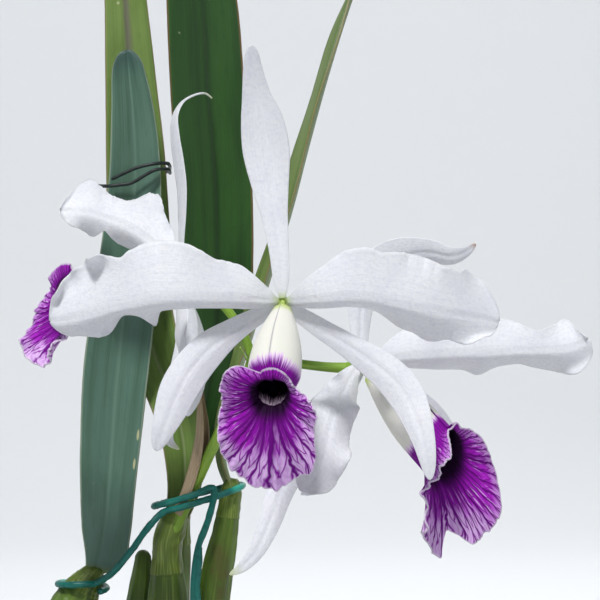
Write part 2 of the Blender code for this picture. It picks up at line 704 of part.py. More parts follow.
BLOOM_RIGHT = Bloom(
    "right",
    (82.5, -46, 318),
    Vector((0.6, -0.8, 0.0)),
    sepals=[
        Blade(
            "dorsal_sepal",
            [
                (-0.7, 2, 6.3, 2.8, 2.8), (-1.1, 4.4, 16, 4.4, 4.4), (-0.4, 6.4, 26, 6, 6),
                (2.4, 8, 34.4, 7.4, 7.4), (8.2, 8.6, 41, 8.2, 8.2), (16.4, 7.4, 44.8, 7.6, 7.6),
                (26, 4.6, 46, 5.6, 5.6), (34.4, 2, 44.4, 4, 4), (40.4, 0, 46, 2.4, 2.4),
                (44.6, -1, 49.2, 1.4, 1.4),
            ],
            face=Vector((0.45, -0.89, 0.0)),
            first_side=LEFT,
        ),
        Blade(
            "near_lateral_sepal",
            [
                (-3.8, -0.2, -5.2, 2.4, 2.4), (-11.2, -3, -13.6, 3.9, 3.9), (-19.8, -9.6, -24.8, 5, 5),
                (-27.4, -16.8, -36.8, 5.6, 5.6), (-33, -22.8, -47.8, 5.2, 5.2),
                (-37, -27, -58.6, 4.5, 4.5), (-41.6, -30, -68.4, 3.3, 3.3), (-47, -32, -74.6, 2.2, 2.2),
                (-52, -33, -77.6, 1.2, 1.2),
            ],
        ),
        Blade(
            "far_lateral_sepal",
            [
                (4.4, 3.4, -3.0, 2.6, 2.6), (11.4, 5.4, -7.4, 4.2, 4.2), (18.8, 9, -12.8, 5.6, 5.6),
                (25.8, 13.6, -18.8, 6.4, 6.4), (31.8, 18, -25.6, 6, 6), (36.6, 22, -33.8, 4.4, 4.4),
                (39.6, 24, -41.8, 2, 2),
            ],
        ),
    ],
    petals=[
        Blade(
            "near_petal",
            [
                (-4.4, -4.2, -0.4, 2.6, 2.6), (-8.2, -9.4, -7, 6.6, 6.6), (-11.8, -16.2, -14, 9.2, 9.2),
                (-14.4, -23, -21, 10.6, 10.6), (-16.2, -30, -28, 10.8, 10.8),
                (-18.2, -36, -35, 9.8, 9.8), (-21.6, -41, -41, 7.6, 7.6), (-25.6, -44, -44.6, 4, 4),
            ],
            first_side=LEFT,
            turn=(30, 34, 40),
            wave=3.0,
            wave_count=3.6,
            steps=14,
            across=6,
        ),
        Blade(
            "far_petal",
            [
                (5.2, 3.2, 2.4, 3.2, 3.2), (12.6, 5.2, 4.2, 8.4, 7), (22.8, 8, 5, 14, 12),
                (35, 12, 5.4, 17.4, 14.6), (47.4, 15, 5.8, 17.2, 15), (59.8, 17.6, 6.4, 13.8, 12.6),
                (70.2, 19, 6.8, 10.4, 10.8), (79.6, 19, 7.2, 11, 11), (87.2, 18, 8.8, 8.6, 8.6),
                (91.4, 16, 11.4, 4, 4),
            ],
            first_bend=(8, 14, 18, 24),
            second_bend=(50, 84, 90, 84, 54, 40),
            wave=1.8,
            wave_count=3.2,
            tip_start=0.9,
            steps=16,
            across=6,
        ),
    ],
    lip=Lip(
        Vector((0.60, -0.42, -0.68)),
        first_reach=(34.5, 33, 27, 27, 19, 17, 15, 13, 12, 9, 5, 4, 4),
        second_reach=(34.5, 25, 33, 34, 33, 30.5, 23.5, 17, 12, 7, 3.5, 4, 4),
        first_flare=(52, 52, 52, 52, 50, 46, 40, 29, 24, 38, 60, 82, 100),
        second_flare=(52, 48, 43, 38, 38, 48, 62, 78, 92, 100, 104, 103, 100),
    ),
)

BLOOM_LEFT = Bloom(
    "left",
    (8.5, -42, 354.5),
    Vector((-0.93, -0.37, 0.0)),
    sepals=[
        Blade(
            "dorsal_sepal",
            [
                (0.2, 2.4, 6, 2.6, 2.6), (0, 4.4, 15, 4.6, 4.6), (-0.2, 7, 25, 6.4, 6.4),
                (-0.8, 9.6, 35, 7.6, 7.6), (-2.2, 11.6, 45, 7.8, 7.8), (-3.6, 13, 55, 7, 7),
                (-3.8, 14.4, 64, 5.6, 5.6), (-0.8, 16, 70.6, 4.4, 4.4), (4.2, 17, 74, 3.2, 3.2),
                (9.2, 17, 75, 2.2, 2.2), (12.4, 17, 73, 1.2, 1.2),
            ],
            face=Vector((-0.95, -0.31, 0.0)),
            first_side=FRONT,
        ),
        Blade(
            "near_lateral_sepal",
            [
                (0.2, -0.6, -6.8, 2.2, 2.2), (3.0, 0.2, -16, 3.8, 3.8), (2.6, 1, -28, 4.6, 4.6),
                (0, 1, -40, 4.6, 4.6), (-2.8, 0.4, -50, 3.8, 3.8), (-4.6, -1.4, -59, 2.6, 2.6),
                (-3.8, -4, -65.4, 1.8, 1.8), (0.2, -6, -68.4, 1.0, 1.0),
            ],
            first_side=LEFT,
        ),
        Blade(
            "far_lateral_sepal",
            [
                (0.0, 4.9, -6.5, 2.2, 2.2), (3, 10.4, -16.8, 4.2, 4.2), (5, 15, -28, 5.2, 5.2),
                (5.2, 17, -38, 5.2, 5.2), (4, 18, -48, 4, 4), (2, 18, -57, 1.8, 1.8),
            ],
            first_side=LEFT,
        ),
    ],
    petals=[
        Blade(
            "near_petal",
            [
                (0.3, -5.6, -6.3, 3.2, 3.2), (1.8, -13, -15.5, 7.4, 7.4), (2.8, -19, -25.4, 10.4, 10.4),
                (2.8, -23, -35, 11.4, 11.4), (1.6, -25, -44.4, 9.8, 9.8), (0.2, -26, -53, 6.6, 6.6),
                (-0.6, -26, -59.4, 3, 3),
            ],
            face=Vector((-0.97, -0.25, 0.0)),
            first_side=FRONT,
            wave=1.6,
            wave_count=2.6,
            steps=12,
        ),
        Blade(
            "far_petal",
            [
                (-4.2, 3.2, 8, 4.4, 3.6), (-10.6, 6.6, 14.4, 13.5, 7), (-18.6, 11, 19.2, 18, 10),
                (-26.8, 15, 23, 11, 9.6), (-34.6, 18, 25.6, 12.4, 9.4), (-41.4, 20, 26.8, 14.5, 8),
                (-48.4, 21, 27, 4.5, 4),
            ],
            first_bend=(6, 10, 14, 20),
            second_bend=(40, 64, 66, 48, 24),
            wave=2.0,
            wave_count=3.2,
            tip_start=0.88,
            steps=14,
            across=6,
        ),
    ],
    lip=Lip(
        Vector((-0.86, -0.46, -0.20)),
        first_reach=(20, 20.5, 19, 12, 11, 9, 7),
        second_reach=(20, 15.5, 7, 2, 2, 3, 7),
        first_flare=(50, 32, 50, 80, 110, 112, 110),
        second_flare=(50, 47, 36, 40, 60, 96, 110),
    ),
)


def seated_rows(blade, bloom, advance):
    """The tepal's rows in the frame of the plant, with a first row next to the bloom's heart."""
    heart = Vector(bloom.heart)
    first = Vector(blade.rows[0][:3])
    outwards = (first - first.dot(bloom.facing) * bloom.facing).normalized()
    seat = bloom.facing * (advance / MM) + outwards * (TEPAL_START / MM)
    rows = [(*(heart + seat), TEPAL_FOOT_HALF_WIDTH / MM, TEPAL_FOOT_HALF_WIDTH / MM)]
    for x, y, z, first_width, second_width in blade.rows:
        place = heart + Vector((x, y, z)) + bloom.facing * (advance / MM)
        rows.append((*place, first_width, second_width))
    return rows


def lip_frame(bloom):
    """Where the lip starts, its axis, the way its front lobe hangs and the way to its second side."""
    axis = bloom.lip.axis.normalized()
    hang = (-UP + UP.dot(axis) * axis).normalized()
    start = Vector(bloom.heart) * MM + bloom.facing * LIP_ADVANCE - UP * LIP_DROP
    return start, axis, hang, axis.cross(hang)


def tube_radius(lip, share, turn):
    """The radius of a lip's tube at a share along it, a turn from its floor at 0 to its top at 1."""
    swell = math.sin(0.5 * math.pi * min(1.0, share / LIP_SWELL_END))
    neck = lip.floor_radius + (lip.neck_radius - lip.floor_radius) * eased(0.0, 0.4, turn)
    neck -= lip.top_dip * eased(0.6, 1.0, turn)
    radius = LIP_BASE_RADIUS + (LIP_BELLY_RADIUS - LIP_BASE_RADIUS) * swell
    return radius - (LIP_BELLY_RADIUS - neck) * eased(LIP_NECK_START, 1.0, share)


def lip_grid(bloom, steps=11, columns=22):
    """The lip's middle surface, open along the seam on top of its tube."""
    lip = bloom.lip
    start, axis, hang, second_side = lip_frame(bloom)
    tube_steps = steps // 2
    bm = bmesh.new()
    bmesh.ops.create_grid(bm, x_segments=steps, y_segments=columns, size=0.5)
    for vertex in bm.verts:
        step, side = round((vertex.co.x + 0.5) * steps), vertex.co.y * 2
        opening = math.pi - LIP_SEAM_HALF_GAP
        angle = opening * side * (1 - LIP_CROWDING + LIP_CROWDING * side * side)
        turn = abs(angle) / math.pi
        reach = smooth_value(lip.second_reach if side > 0 else lip.first_reach, turn) * MM
        flare = smooth_value(lip.second_flare if side > 0 else lip.first_flare, turn)
        tube_share = min(1.0, step / tube_steps)
        radius = tube_radius(lip, tube_share, turn)
        along = LIP_TUBE_LENGTH * tube_share * (1 - lip.top_setback * turn)
        along += LIP_BACK_CUT * turn * (1 - tube_share)
        bent = 0.0
        for part in range(tube_steps, step):
            opened = (part - tube_steps + 0.5) / (steps - tube_steps)
            quick = LIP_QUICK_TURN * min(1.0, opened * LIP_QUICK_PACE)
            bent = math.radians(flare) * (quick + (1 - LIP_QUICK_TURN) * opened)
            along += reach / (steps - tube_steps) * math.cos(bent)
            radius += reach / (steps - tube_steps) * math.sin(bent)
        opened = max(0, step - tube_steps) / (steps - tube_steps)
        frill = lip.frill * MM * opened**2 * math.sin(2 * LIP_FRILLS * angle)
        out = math.cos(angle) * hang + math.sin(angle) * second_side
        vertex.co = start + axis * (along - frill * math.sin(bent))
        vertex.co += out * (radius + frill * math.cos(bent))
    bmesh.ops.triangulate(bm, faces=bm.faces[:], quad_method="FIXED")
    return bm


def add_lip(bloom):
    made = add_solid(f"{bloom.name}_bloom_lip", lip_grid(bloom), PURPLE)
    solidify = made.modifiers.new("thickness", "SOLIDIFY")
    solidify.thickness = LIP_THICKNESS
    solidify.offset = 0.0
    return made


def add_column(bloom):
    """The column that stands inside the lip's tube, with the anther cap at its end."""
    start, axis, hang, _ = lip_frame(bloom)
    root = Vector(bloom.heart) * MM + bloom.facing * COLUMN_START
    places = [
        (root, 1.3),
        (root.lerp(start + axis * 0.008 - hang * 0.0004, 0.5), 1.2),
        (start + axis * 0.008 - hang * 0.0004, 1.9),
        (start + axis * 0.016 - hang * 0.0022, 2.6),
        (start + axis * 0.023 - hang * 0.0034, 3.1),
        (start + axis * 0.027 - hang * 0.0034, 2.6),
    ]
    rows = [(*(place / MM), radius) for place, radius in places]
    bm = stalk(rows, 8, 7, bloom.facing.cross(UP), blunt=0.12)
    return add_solid(f"{bloom.name}_bloom_column", bm, COLUMN_WHITE)


def add_bloom(bloom):
    for whorl, advance in ((bloom.sepals, -SEPAL_SETBACK), (bloom.petals, PETAL_ADVANCE)):
        for blade in whorl:
            blade.name = f"{bloom.name}_bloom_{blade.name}"
            add_blade(blade, seated_rows(blade, bloom, advance))
    add_lip(bloom)
    add_column(bloom)


def pedicel_end(bloom):
    """The last rows of a flower stalk, which swell into the receptacle behind the bloom."""
    heart, back = Vector(bloom.heart), -bloom.facing
    radius = RECEPTACLE_RADIUS / MM
    setback = RECEPTACLE_SETBACK / MM
    return [
        (*(heart + back * (setback + 7)), radius),
        (*(heart + back * (setback + 3)), radius),
        (*(heart + back * setback), 0.8 * radius),
    ]


def receptacle_boss(bloom):
    """The short peg through the whorls, from the receptacle to the column's foot."""
    heart = Vector(bloom.heart)
    ends = (-RECEPTACLE_SETBACK - BOSS_RADIUS, COLUMN_START - BOSS_GAP)
    rows = [(*(heart + bloom.facing * (end / MM)), BOSS_RADIUS / MM) for end in ends]
    return stalk(rows, 8, 1, UP)


PEDUNCLE = [
    (3.5, -0.8, 247, 2.6), (9, -2.6, 259, 2.6), (14.6, -5.8, 271, 2.5), (20.8, -10.6, 284, 2.4),
    (27.6, -18, 297.5, 2.4), (33.6, -27, 310, 2.4), (38.6, -38, 322, 2.3), (43.4, -52, 332, 2.2),
    (47.6, -68, 339.5, 2.2),
]
PEDICEL_RIGHT = [
    (37.5, -35.5, 319.5, 1.9), (46, -38.5, 320.5, 1.9), (57, -39.5, 319.4, 1.9),
    (67, -38.5, 318.2, 2.0), (74.5, -38, 317.8, 2.2),
]
PEDICEL_LEFT = [
    (38, -36.5, 320.5, 1.8), (34.5, -37, 331, 1.8), (27.5, -37.4, 341.5, 1.9),
    (20, -37.6, 349.5, 2.1),
]


def add_flower_stem():
    """The flower stem with its three stalks, each of which swells into a receptacle."""
    front = stalk(PEDUNCLE + pedicel_end(BLOOM_FRONT), 8, 26, SIDEWAYS, blunt=0.02)
    stem = add_solid("flower_stem", front, STEM_GREEN)
    pieces = []
    for rows, bloom in ((PEDICEL_RIGHT, BLOOM_RIGHT), (PEDICEL_LEFT, BLOOM_LEFT)):
        bm = stalk(rows + pedicel_end(bloom), 8, 14, UP, blunt=0.03)
        pieces.append(add_solid("stalk", bm, STEM_GREEN))
    for bloom in (BLOOM_FRONT, BLOOM_RIGHT, BLOOM_LEFT):
        pieces.append(add_solid("boss", receptacle_boss(bloom), STEM_GREEN))
    return fuse(stem, pieces)


@dataclass
class Loop:
    """Turns of a tie round a stem: the middle, radii and height in mm, and the angles in degrees."""

    middle: tuple
    radii: tuple
    heights: tuple
    angles: tuple
    points: int

    def rows(self, radius):
        found = []
        for i in range(self.points):
            share = i / (self.points - 1)
            angle = math.radians(self.angles[0] + (self.angles[1] - self.angles[0]) * share)
            height = self.heights[0] + (self.heights[1] - self.heights[0]) * share
            x = self.middle[0] + self.radii[0] * math.cos(angle)
            y = self.middle[1] + self.radii[1] * math.sin(angle)
            found.append((x, y, height, radius))
        return found


TEAL_RADIUS = 1.2
TEAL_LOOPS = [
    Loop((19.5, -2.4), (8.8, 8.8), (205.5, 209.5), (-500, -150), 12),
    Loop((14.2, 1.5), (18.6, 11.2), (264.6, 260.4), (-68, -500), 16),
    Loop((-35.2, 7), (10.2, 10.2), (226.4, 222.4), (-45, -400), 12),
]
TEAL_LOOP_SLOPES = [0.0, 0.28, 0.0]
TEAL_RUNS = [
    [(13, -11.5, 215), (13, -12.6, 228), (15, -12.6, 243), (19, -12, 254)],
    [(-6.5, -8.2, 250), (-13, -9, 241), (-20.5, -6.8, 232)],
]
BLACK_RADIUS = 0.75
BLACK_TURNS = [
    (-22.5, 2.4, 395.8), (-12.5, 2.0, 400.4), (-4.2, 2.2, 402.4), (0.6, 5.6, 402.8),
    (1.0, 14, 402.8), (0.8, 24, 402.4), (-0.6, 34, 401.4), (-6, 41, 399.8), (-15, 43, 397.6),
    (-25, 41.2, 395.6), (-30.6, 34.4, 394.8), (-30.4, 23, 394.2), (-28, 11, 393.6), (-24.8, 3.6, 393.0),
    (-19.5, 2.2, 393.4), (-13.7, 1.9, 394.4), (-7.6, 2.0, 398.0), (-3.6, 2.2, 399.9),
    (0.6, 5.6, 400.4), (1.2, 14, 400.2), (1.0, 22, 399.6),
]


def add_teal_tie():
    """One soft tie: round the right bulb, then round the centre neck with it, then round the left bulb."""
    rows = []
    for i, (loop, slope) in enumerate(zip(TEAL_LOOPS, TEAL_LOOP_SLOPES)):
        for x, y, z, radius in loop.rows(TEAL_RADIUS):
            rows.append((x, y, z + slope * (x - loop.middle[0]), radius))
        if i < len(TEAL_RUNS):
            rows += [(*place, TEAL_RADIUS) for place in TEAL_RUNS[i]]
    bm = stalk(rows, 6, round(1.6 * len(rows)), UP)
    return add_solid("teal_tie", bm, TIE_TEAL)


def add_black_tie():
    """Two turns of coated wire that hold the left and the centre leaf together."""
    rows = [(*place, BLACK_RADIUS) for place in BLACK_TURNS]
    bm = stalk(rows, 6, 2 * len(rows), UP)
    return add_solid("black_tie", bm, TIE_BLACK)


def rhizome_points():
    """Points along the rhizome and its roots, in metres."""
    flat = [(x, y, 0, 0) for x, y in RHIZOME_RUN]
    runs = [flat, [(x, y, 0, 0) for x, y in RHIZOME_BRANCH]]
    runs += [root_rows(*root) for root in ROOTS]
    return [Vector(smooth(run, i / 12)[:3]) * MM for run in runs for i in range(13)]


def main():
    clear_scene()
    add_pot()
    add_bark(rhizome_points())
    add_rhizome()
    for name, rows in BULBS.items():
        add_bulb(name, rows)
    for name, span in DRY_SHEATH_SPAN.items():
        add_dry_sheath(name.replace("pseudobulb", "dry_sheath"), BULBS[name], span)
    add_leaves()
    add_sheath(
        "flower_sheath",
        FLOWER_SHEATH,
        FLOWER_SHEATH_SIDE,
        FLOWER_SHEATH_OPENING,
        PAPERY,
        SHEATH_THICKNESS,
        8,
        8,
    )
    add_flower_stem()
    for bloom in (BLOOM_FRONT, BLOOM_RIGHT, BLOOM_LEFT):
        add_bloom(bloom)
    add_teal_tie()
    add_black_tie()


main()
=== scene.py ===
"""A potted cattleya orchid in bloom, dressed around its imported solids.

Tables of places are in millimetres, and those of a bloom are offsets from its heart,
the point where all its tepals meet. Everything else is in metres, with +Z up.
"""

import logging
import math
import random
from collections.abc import Callable, Sequence
from dataclasses import dataclass, field
from enum import Enum

import bmesh
import bpy
from bmesh.types import BMesh
from bpy.types import Material
from mathutils import Matrix, Vector, noise


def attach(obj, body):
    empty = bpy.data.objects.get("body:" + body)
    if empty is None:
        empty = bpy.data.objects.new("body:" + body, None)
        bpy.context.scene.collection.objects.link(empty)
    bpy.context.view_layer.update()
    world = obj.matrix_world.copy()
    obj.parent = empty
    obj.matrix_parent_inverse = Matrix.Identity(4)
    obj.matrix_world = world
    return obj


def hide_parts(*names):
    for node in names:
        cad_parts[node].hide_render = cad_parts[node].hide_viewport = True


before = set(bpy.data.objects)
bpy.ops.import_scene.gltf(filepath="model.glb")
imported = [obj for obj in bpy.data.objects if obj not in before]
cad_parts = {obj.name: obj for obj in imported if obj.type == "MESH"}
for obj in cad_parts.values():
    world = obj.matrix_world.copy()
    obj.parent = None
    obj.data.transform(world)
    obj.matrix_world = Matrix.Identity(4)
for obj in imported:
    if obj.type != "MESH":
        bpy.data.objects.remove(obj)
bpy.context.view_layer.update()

LOG = logging.getLogger("orchid")

MM = 0.001
CM = 0.01
UP = Vector((0.0, 0.0, 1.0))
FRONT = Vector((0.0, -1.0, 0.0))
LEFT = Vector((-1.0, 0.0, 0.0))
SIDEWAYS = Vector((1.0, 0.0, 0.0))
SURFACE_MAP = "surface"
BODY_GROUP = "body"
RIM_LAYER = "rim"

Row = tuple[float, ...]
Triple = tuple[float, float, float]
Place = Callable[[float, float], Vector]
Finishes = dict[object, Material]


class Side(Enum):
    """The two sides of a lip."""

    FACE = "face"
    BACK = "back"


class Slot(Enum):
    """The record's material slots."""

    CLAY = "terracotta"
    BARK = "bark"
    ROOT = "root"
    BULB = "pseudobulb"
    DRY_SHEATH = "dry_sheath"
    LEAF_BLUE = "leaf_blue_green"
    LEAF_PALE = "leaf_pale"
    LEAF_DEEP = "leaf_deep_green"
    STEM = "flower_stem"
    TEPAL = "tepal"
    LIP = "lip"
    COLUMN = "column"
    TEAL_TIE = "teal_tie"
    BLACK_TIE = "black_tie"


class Coordinates(Enum):
    """Where a pattern takes its place from."""

    OBJECT = "Object"
    SURFACE = "UV"


def tone(text: str) -> tuple[float, float, float, float]:
    """Reads a colour.

    Args:
        text: The colour as six hex digits in sRGB.

    Returns:
        The same colour as linear red, green, blue and alpha.
    """
    parts = [int(text[i : i + 2], 16) / 255 for i in (0, 2, 4)]
    linear = [p / 12.92 if p <= 0.04045 else ((p + 0.055) / 1.055) ** 2.4 for p in parts]
    return linear[0], linear[1], linear[2], 1.0


def smooth(rows: Sequence[Row], share: float) -> list[float]:
    """Reads a table on a smooth curve through its rows.

    Args:
        rows: The rows of numbers, at even steps.
        share: How far along the table, from 0 to 1.

    Returns:
        The numbers there.
    """
    place = max(0.0, min(1.0, share)) * (len(rows) - 1)
    i = min(int(place), len(rows) - 2)
    t = place - i
    before, start = rows[max(i - 1, 0)], rows[i]
    end, after = rows[i + 1], rows[min(i + 2, len(rows) - 1)]
    return [
        b + 0.5 * t * (c - a + t * (2 * a - 5 * b + 4 * c - d + t * (3 * (b - c) + d - a)))
        for a, b, c, d in zip(before, start, end, after)
    ]


def smooth_value(values: Sequence[float], share: float) -> float:
    """Reads a list of single numbers on a smooth curve, at a share from 0 to 1."""
    return smooth([(value,) for value in values], share)[0]


def eased(low: float, high: float, value: float) -> float:
    """A share that rises softly from 0 at low to 1 at high."""
    t = max(0.0, min(1.0, (value - low) / (high - low)))
    return t * t * (3 - 2 * t)


def bump_at(value: float, middle: float, spread: float) -> float:
    """A soft hump of height 1 at the middle."""
    return math.exp(-(((value - middle) / spread) ** 2))


def wander(x: float, y: float = 0.0, z: float = 0.0) -> float:
    """Smooth noise from about -1 to 1."""
    return noise.noise(Vector((x, y, z)))


def carried_frames(points: list[Vector], face: Vector) -> list[tuple[Vector, Vector]]:
    """Carries a face direction along a path without twisting it.

    Args:
        points: The path.
        face: The way that it faces at its start.

    Returns:
        The tangent and the face direction at each point.
    """
    frames = []
    tangent = (points[1] - points[0]).normalized()
    normal = (face - face.dot(tangent) * tangent).normalized()
    for i, _ in enumerate(points):
        ahead = points[min(i + 1, len(points) - 1)] - points[max(i - 1, 0)]
        ahead.normalize()
        normal = tangent.rotation_difference(ahead) @ normal
        normal = (normal - normal.dot(ahead) * ahead).normalized()
        tangent = ahead
        frames.append((tangent.copy(), normal.copy()))
    return frames


def tangent_at(rows: Sequence[Row], share: float, step: float = 0.01) -> Vector:
    """The way that a table of places runs at a share from 0 to 1."""
    ahead = Vector(smooth(rows, min(1.0, share + step))[:3])
    return (ahead - Vector(smooth(rows, max(0.0, share - step))[:3])).normalized()


def unwrap(bm: BMesh) -> None:
    """Gives a flat grid of size 1 its UV map: u along it and v across it, both from 0 to 1."""
    layer = bm.loops.layers.uv.new(SURFACE_MAP)
    for face in bm.faces:
        for loop in face.loops:
            loop[layer].uv = (loop.vert.co.x + 0.5, loop.vert.co.y + 0.5)


def laid_sheet(steps: int, columns: int, place: Place, edge_share: float = 1.0) -> BMesh:
    """Bends a grid into an open sheet.

    Args:
        steps: The number of faces along it.
        columns: The number of faces across it.
        place: Gives the point at a share along, from 0 to 1, and a side, from -1 to 1.
        edge_share: The share of its thickness that is left at the two long edges.

    Returns:
        The sheet, with its UV map and its thickness weights.
    """
    bm = bmesh.new()
    bmesh.ops.create_grid(bm, x_segments=steps, y_segments=columns, size=0.5)
    unwrap(bm)
    weights = bm.verts.layers.deform.verify()
    for vertex in bm.verts:
        share, side = vertex.co.x + 0.5, vertex.co.y * 2
        vertex[weights][0] = 1 - (1 - edge_share) * abs(side) ** 2.5
        vertex.co = place(share, side)
    return bm


def laid_tube(steps: int, sides: int, place: Place) -> BMesh:
    """Bends a grid into a tube with closed ends.

    Args:
        steps: The number of faces along it.
        sides: The number of faces round it.
        place: Gives the point at a share along, from 0 to 1, and an angle round it.

    Returns:
        The tube, with its UV map.
    """
    bm = bmesh.new()
    bmesh.ops.create_grid(bm, x_segments=steps, y_segments=sides, size=0.5)
    unwrap(bm)
    for vertex in bm.verts:
        turn = (round((vertex.co.y + 0.5) * sides) % sides) / sides
        vertex.co = place(vertex.co.x + 0.5, 2 * math.pi * turn)
    bmesh.ops.remove_doubles(bm, verts=bm.verts[:], dist=1e-6)
    rim = [edge for edge in bm.edges if edge.is_boundary]
    bmesh.ops.holes_fill(bm, edges=rim, sides=sides)
    return bm


def spun(profile: Sequence[tuple[float, float]], sides: int) -> BMesh:
    """Turns a profile about the upright axis.

    Args:
        profile: The radius and the height of each corner.
        sides: The number of faces round it.

    Returns:
        The turned shape.
    """
    bm = bmesh.new()
    corners = [bm.verts.new((radius, 0.0, height)) for radius, height in profile]
    edges = [bm.edges.new(pair) for pair in zip(corners, corners[1:])]
    bmesh.ops.spin(
        bm,
        geom=corners + edges,
        cent=(0, 0, 0),
        axis=(0, 0, 1),
        angle=2 * math.pi,
        steps=sides,
        use_merge=True,
    )
    bmesh.ops.remove_doubles(bm, verts=bm.verts[:], dist=1e-6)
    return bm


def placed(name: str, data: bpy.types.ID) -> bpy.types.Object:
    """Puts a mesh, a light or a camera in the scene."""
    made = bpy.data.objects.new(name, data)
    bpy.context.scene.collection.objects.link(made)
    return made


def absorb(bm: BMesh, other: BMesh) -> None:
    """Adds a second mesh to the first, and frees it."""
    carrier = bpy.data.meshes.new("carrier")
    other.to_mesh(carrier)
    other.free()
    bm.from_mesh(carrier)
    bpy.data.meshes.remove(carrier)


@dataclass(frozen=True)
class Piece:
    """How a mesh becomes a piece of the orchid.

    thickness is the wall that a sheet gets, in metres, and 0 for a closed body. nodes are
    the solids that the piece stands for.
    """

    name: str
    slot: Slot
    nodes: tuple[str, ...] = ()
    thickness: float = 0.0

    def make(
        self,
        bm: BMesh,
        material: Material,
        back: Material | None = None,
    ) -> bpy.types.Object:
        """Puts the mesh in the scene.

        Args:
            bm: The mesh, which is freed.
            material: Its finish.
            back: The finish of the other side of a sheet, where that differs.

        Returns:
            The piece, riding on the plant's one body.
        """
        if not self.thickness:
            bmesh.ops.recalc_face_normals(bm, faces=bm.faces[:])
        mesh = bpy.data.meshes.new(self.name)
        bm.to_mesh(mesh)
        bm.free()
        mesh.shade_smooth()
        mesh.materials.append(material)
        made = placed(self.name, mesh)
        if self.thickness:
            made.vertex_groups.new(name=BODY_GROUP)
            wall = made.modifiers.new("wall", "SOLIDIFY")
            wall.thickness = self.thickness
            wall.offset = 0.0
            wall.vertex_group = BODY_GROUP
            if back:
                mesh.materials.append(back)
                wall.material_offset = 1
        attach(made, "root")
        if self.nodes:
            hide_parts(*self.nodes)
        LOG.info("%s: %d faces", self.name, len(mesh.polygons))
        return made


def stand_in(node: str, slot: Slot, thickness: float = 0.0) -> Piece:
    """The piece that stands for one node."""
    return Piece(node + "_fine", slot, (node,), thickness)


@dataclass(frozen=True)
class Channel:
    """A socket in a material, which the usual operators combine with others and with numbers."""

    dye: "Dye"
    socket: bpy.types.NodeSocket

    def _with(self, operation: str, *values: "Channel | float") -> "Channel":
        """One Math node over these values."""
        return self.dye.node("ShaderNodeMath", {"operation": operation}, dict(enumerate(values)))

    def __add__(self, other: "Channel | float") -> "Channel":
        """The sum."""
        return self._with("ADD", self, other)

    def __sub__(self, other: "Channel | float") -> "Channel":
        """The difference."""
        return self._with("SUBTRACT", self, other)

    def __rsub__(self, other: float) -> "Channel":
        """The difference from a number."""
        return self._with("SUBTRACT", other, self)

    def __mul__(self, other: "Channel | float") -> "Channel":
        """The product."""
        return self._with("MULTIPLY", self, other)

    def __abs__(self) -> "Channel":
        """The value without its sign."""
        return self._with("ABSOLUTE", self)

    def most(self, other: "Channel | float") -> "Channel":
        """The larger value."""
        return self._with("MAXIMUM", self, other)

    def saw(self) -> "Channel":
        """The part after the decimal point."""
        return self._with("FRACT", self)

    def rise(self, low: float, high: float) -> "Channel":
        """A share that rises softly from 0 at low to 1 at high, or falls where low is larger."""
        settings = {"interpolation_type": "SMOOTHSTEP"}
        if low > high:
            return 1 - self.rise(high, low)
        return self.dye.node("ShaderNodeMapRange", settings, {0: self, 1: low, 2: high})

    def line(self, width: float) -> "Channel":
        """1 along the whole numbers and 0 further from them than half the width."""
        return abs((self + 0.5).saw() - 0.5).rise(width / 2, 0.0)


Colour = tuple[float, float, float, float]
Value = Channel | float | Colour | tuple[float, ...]


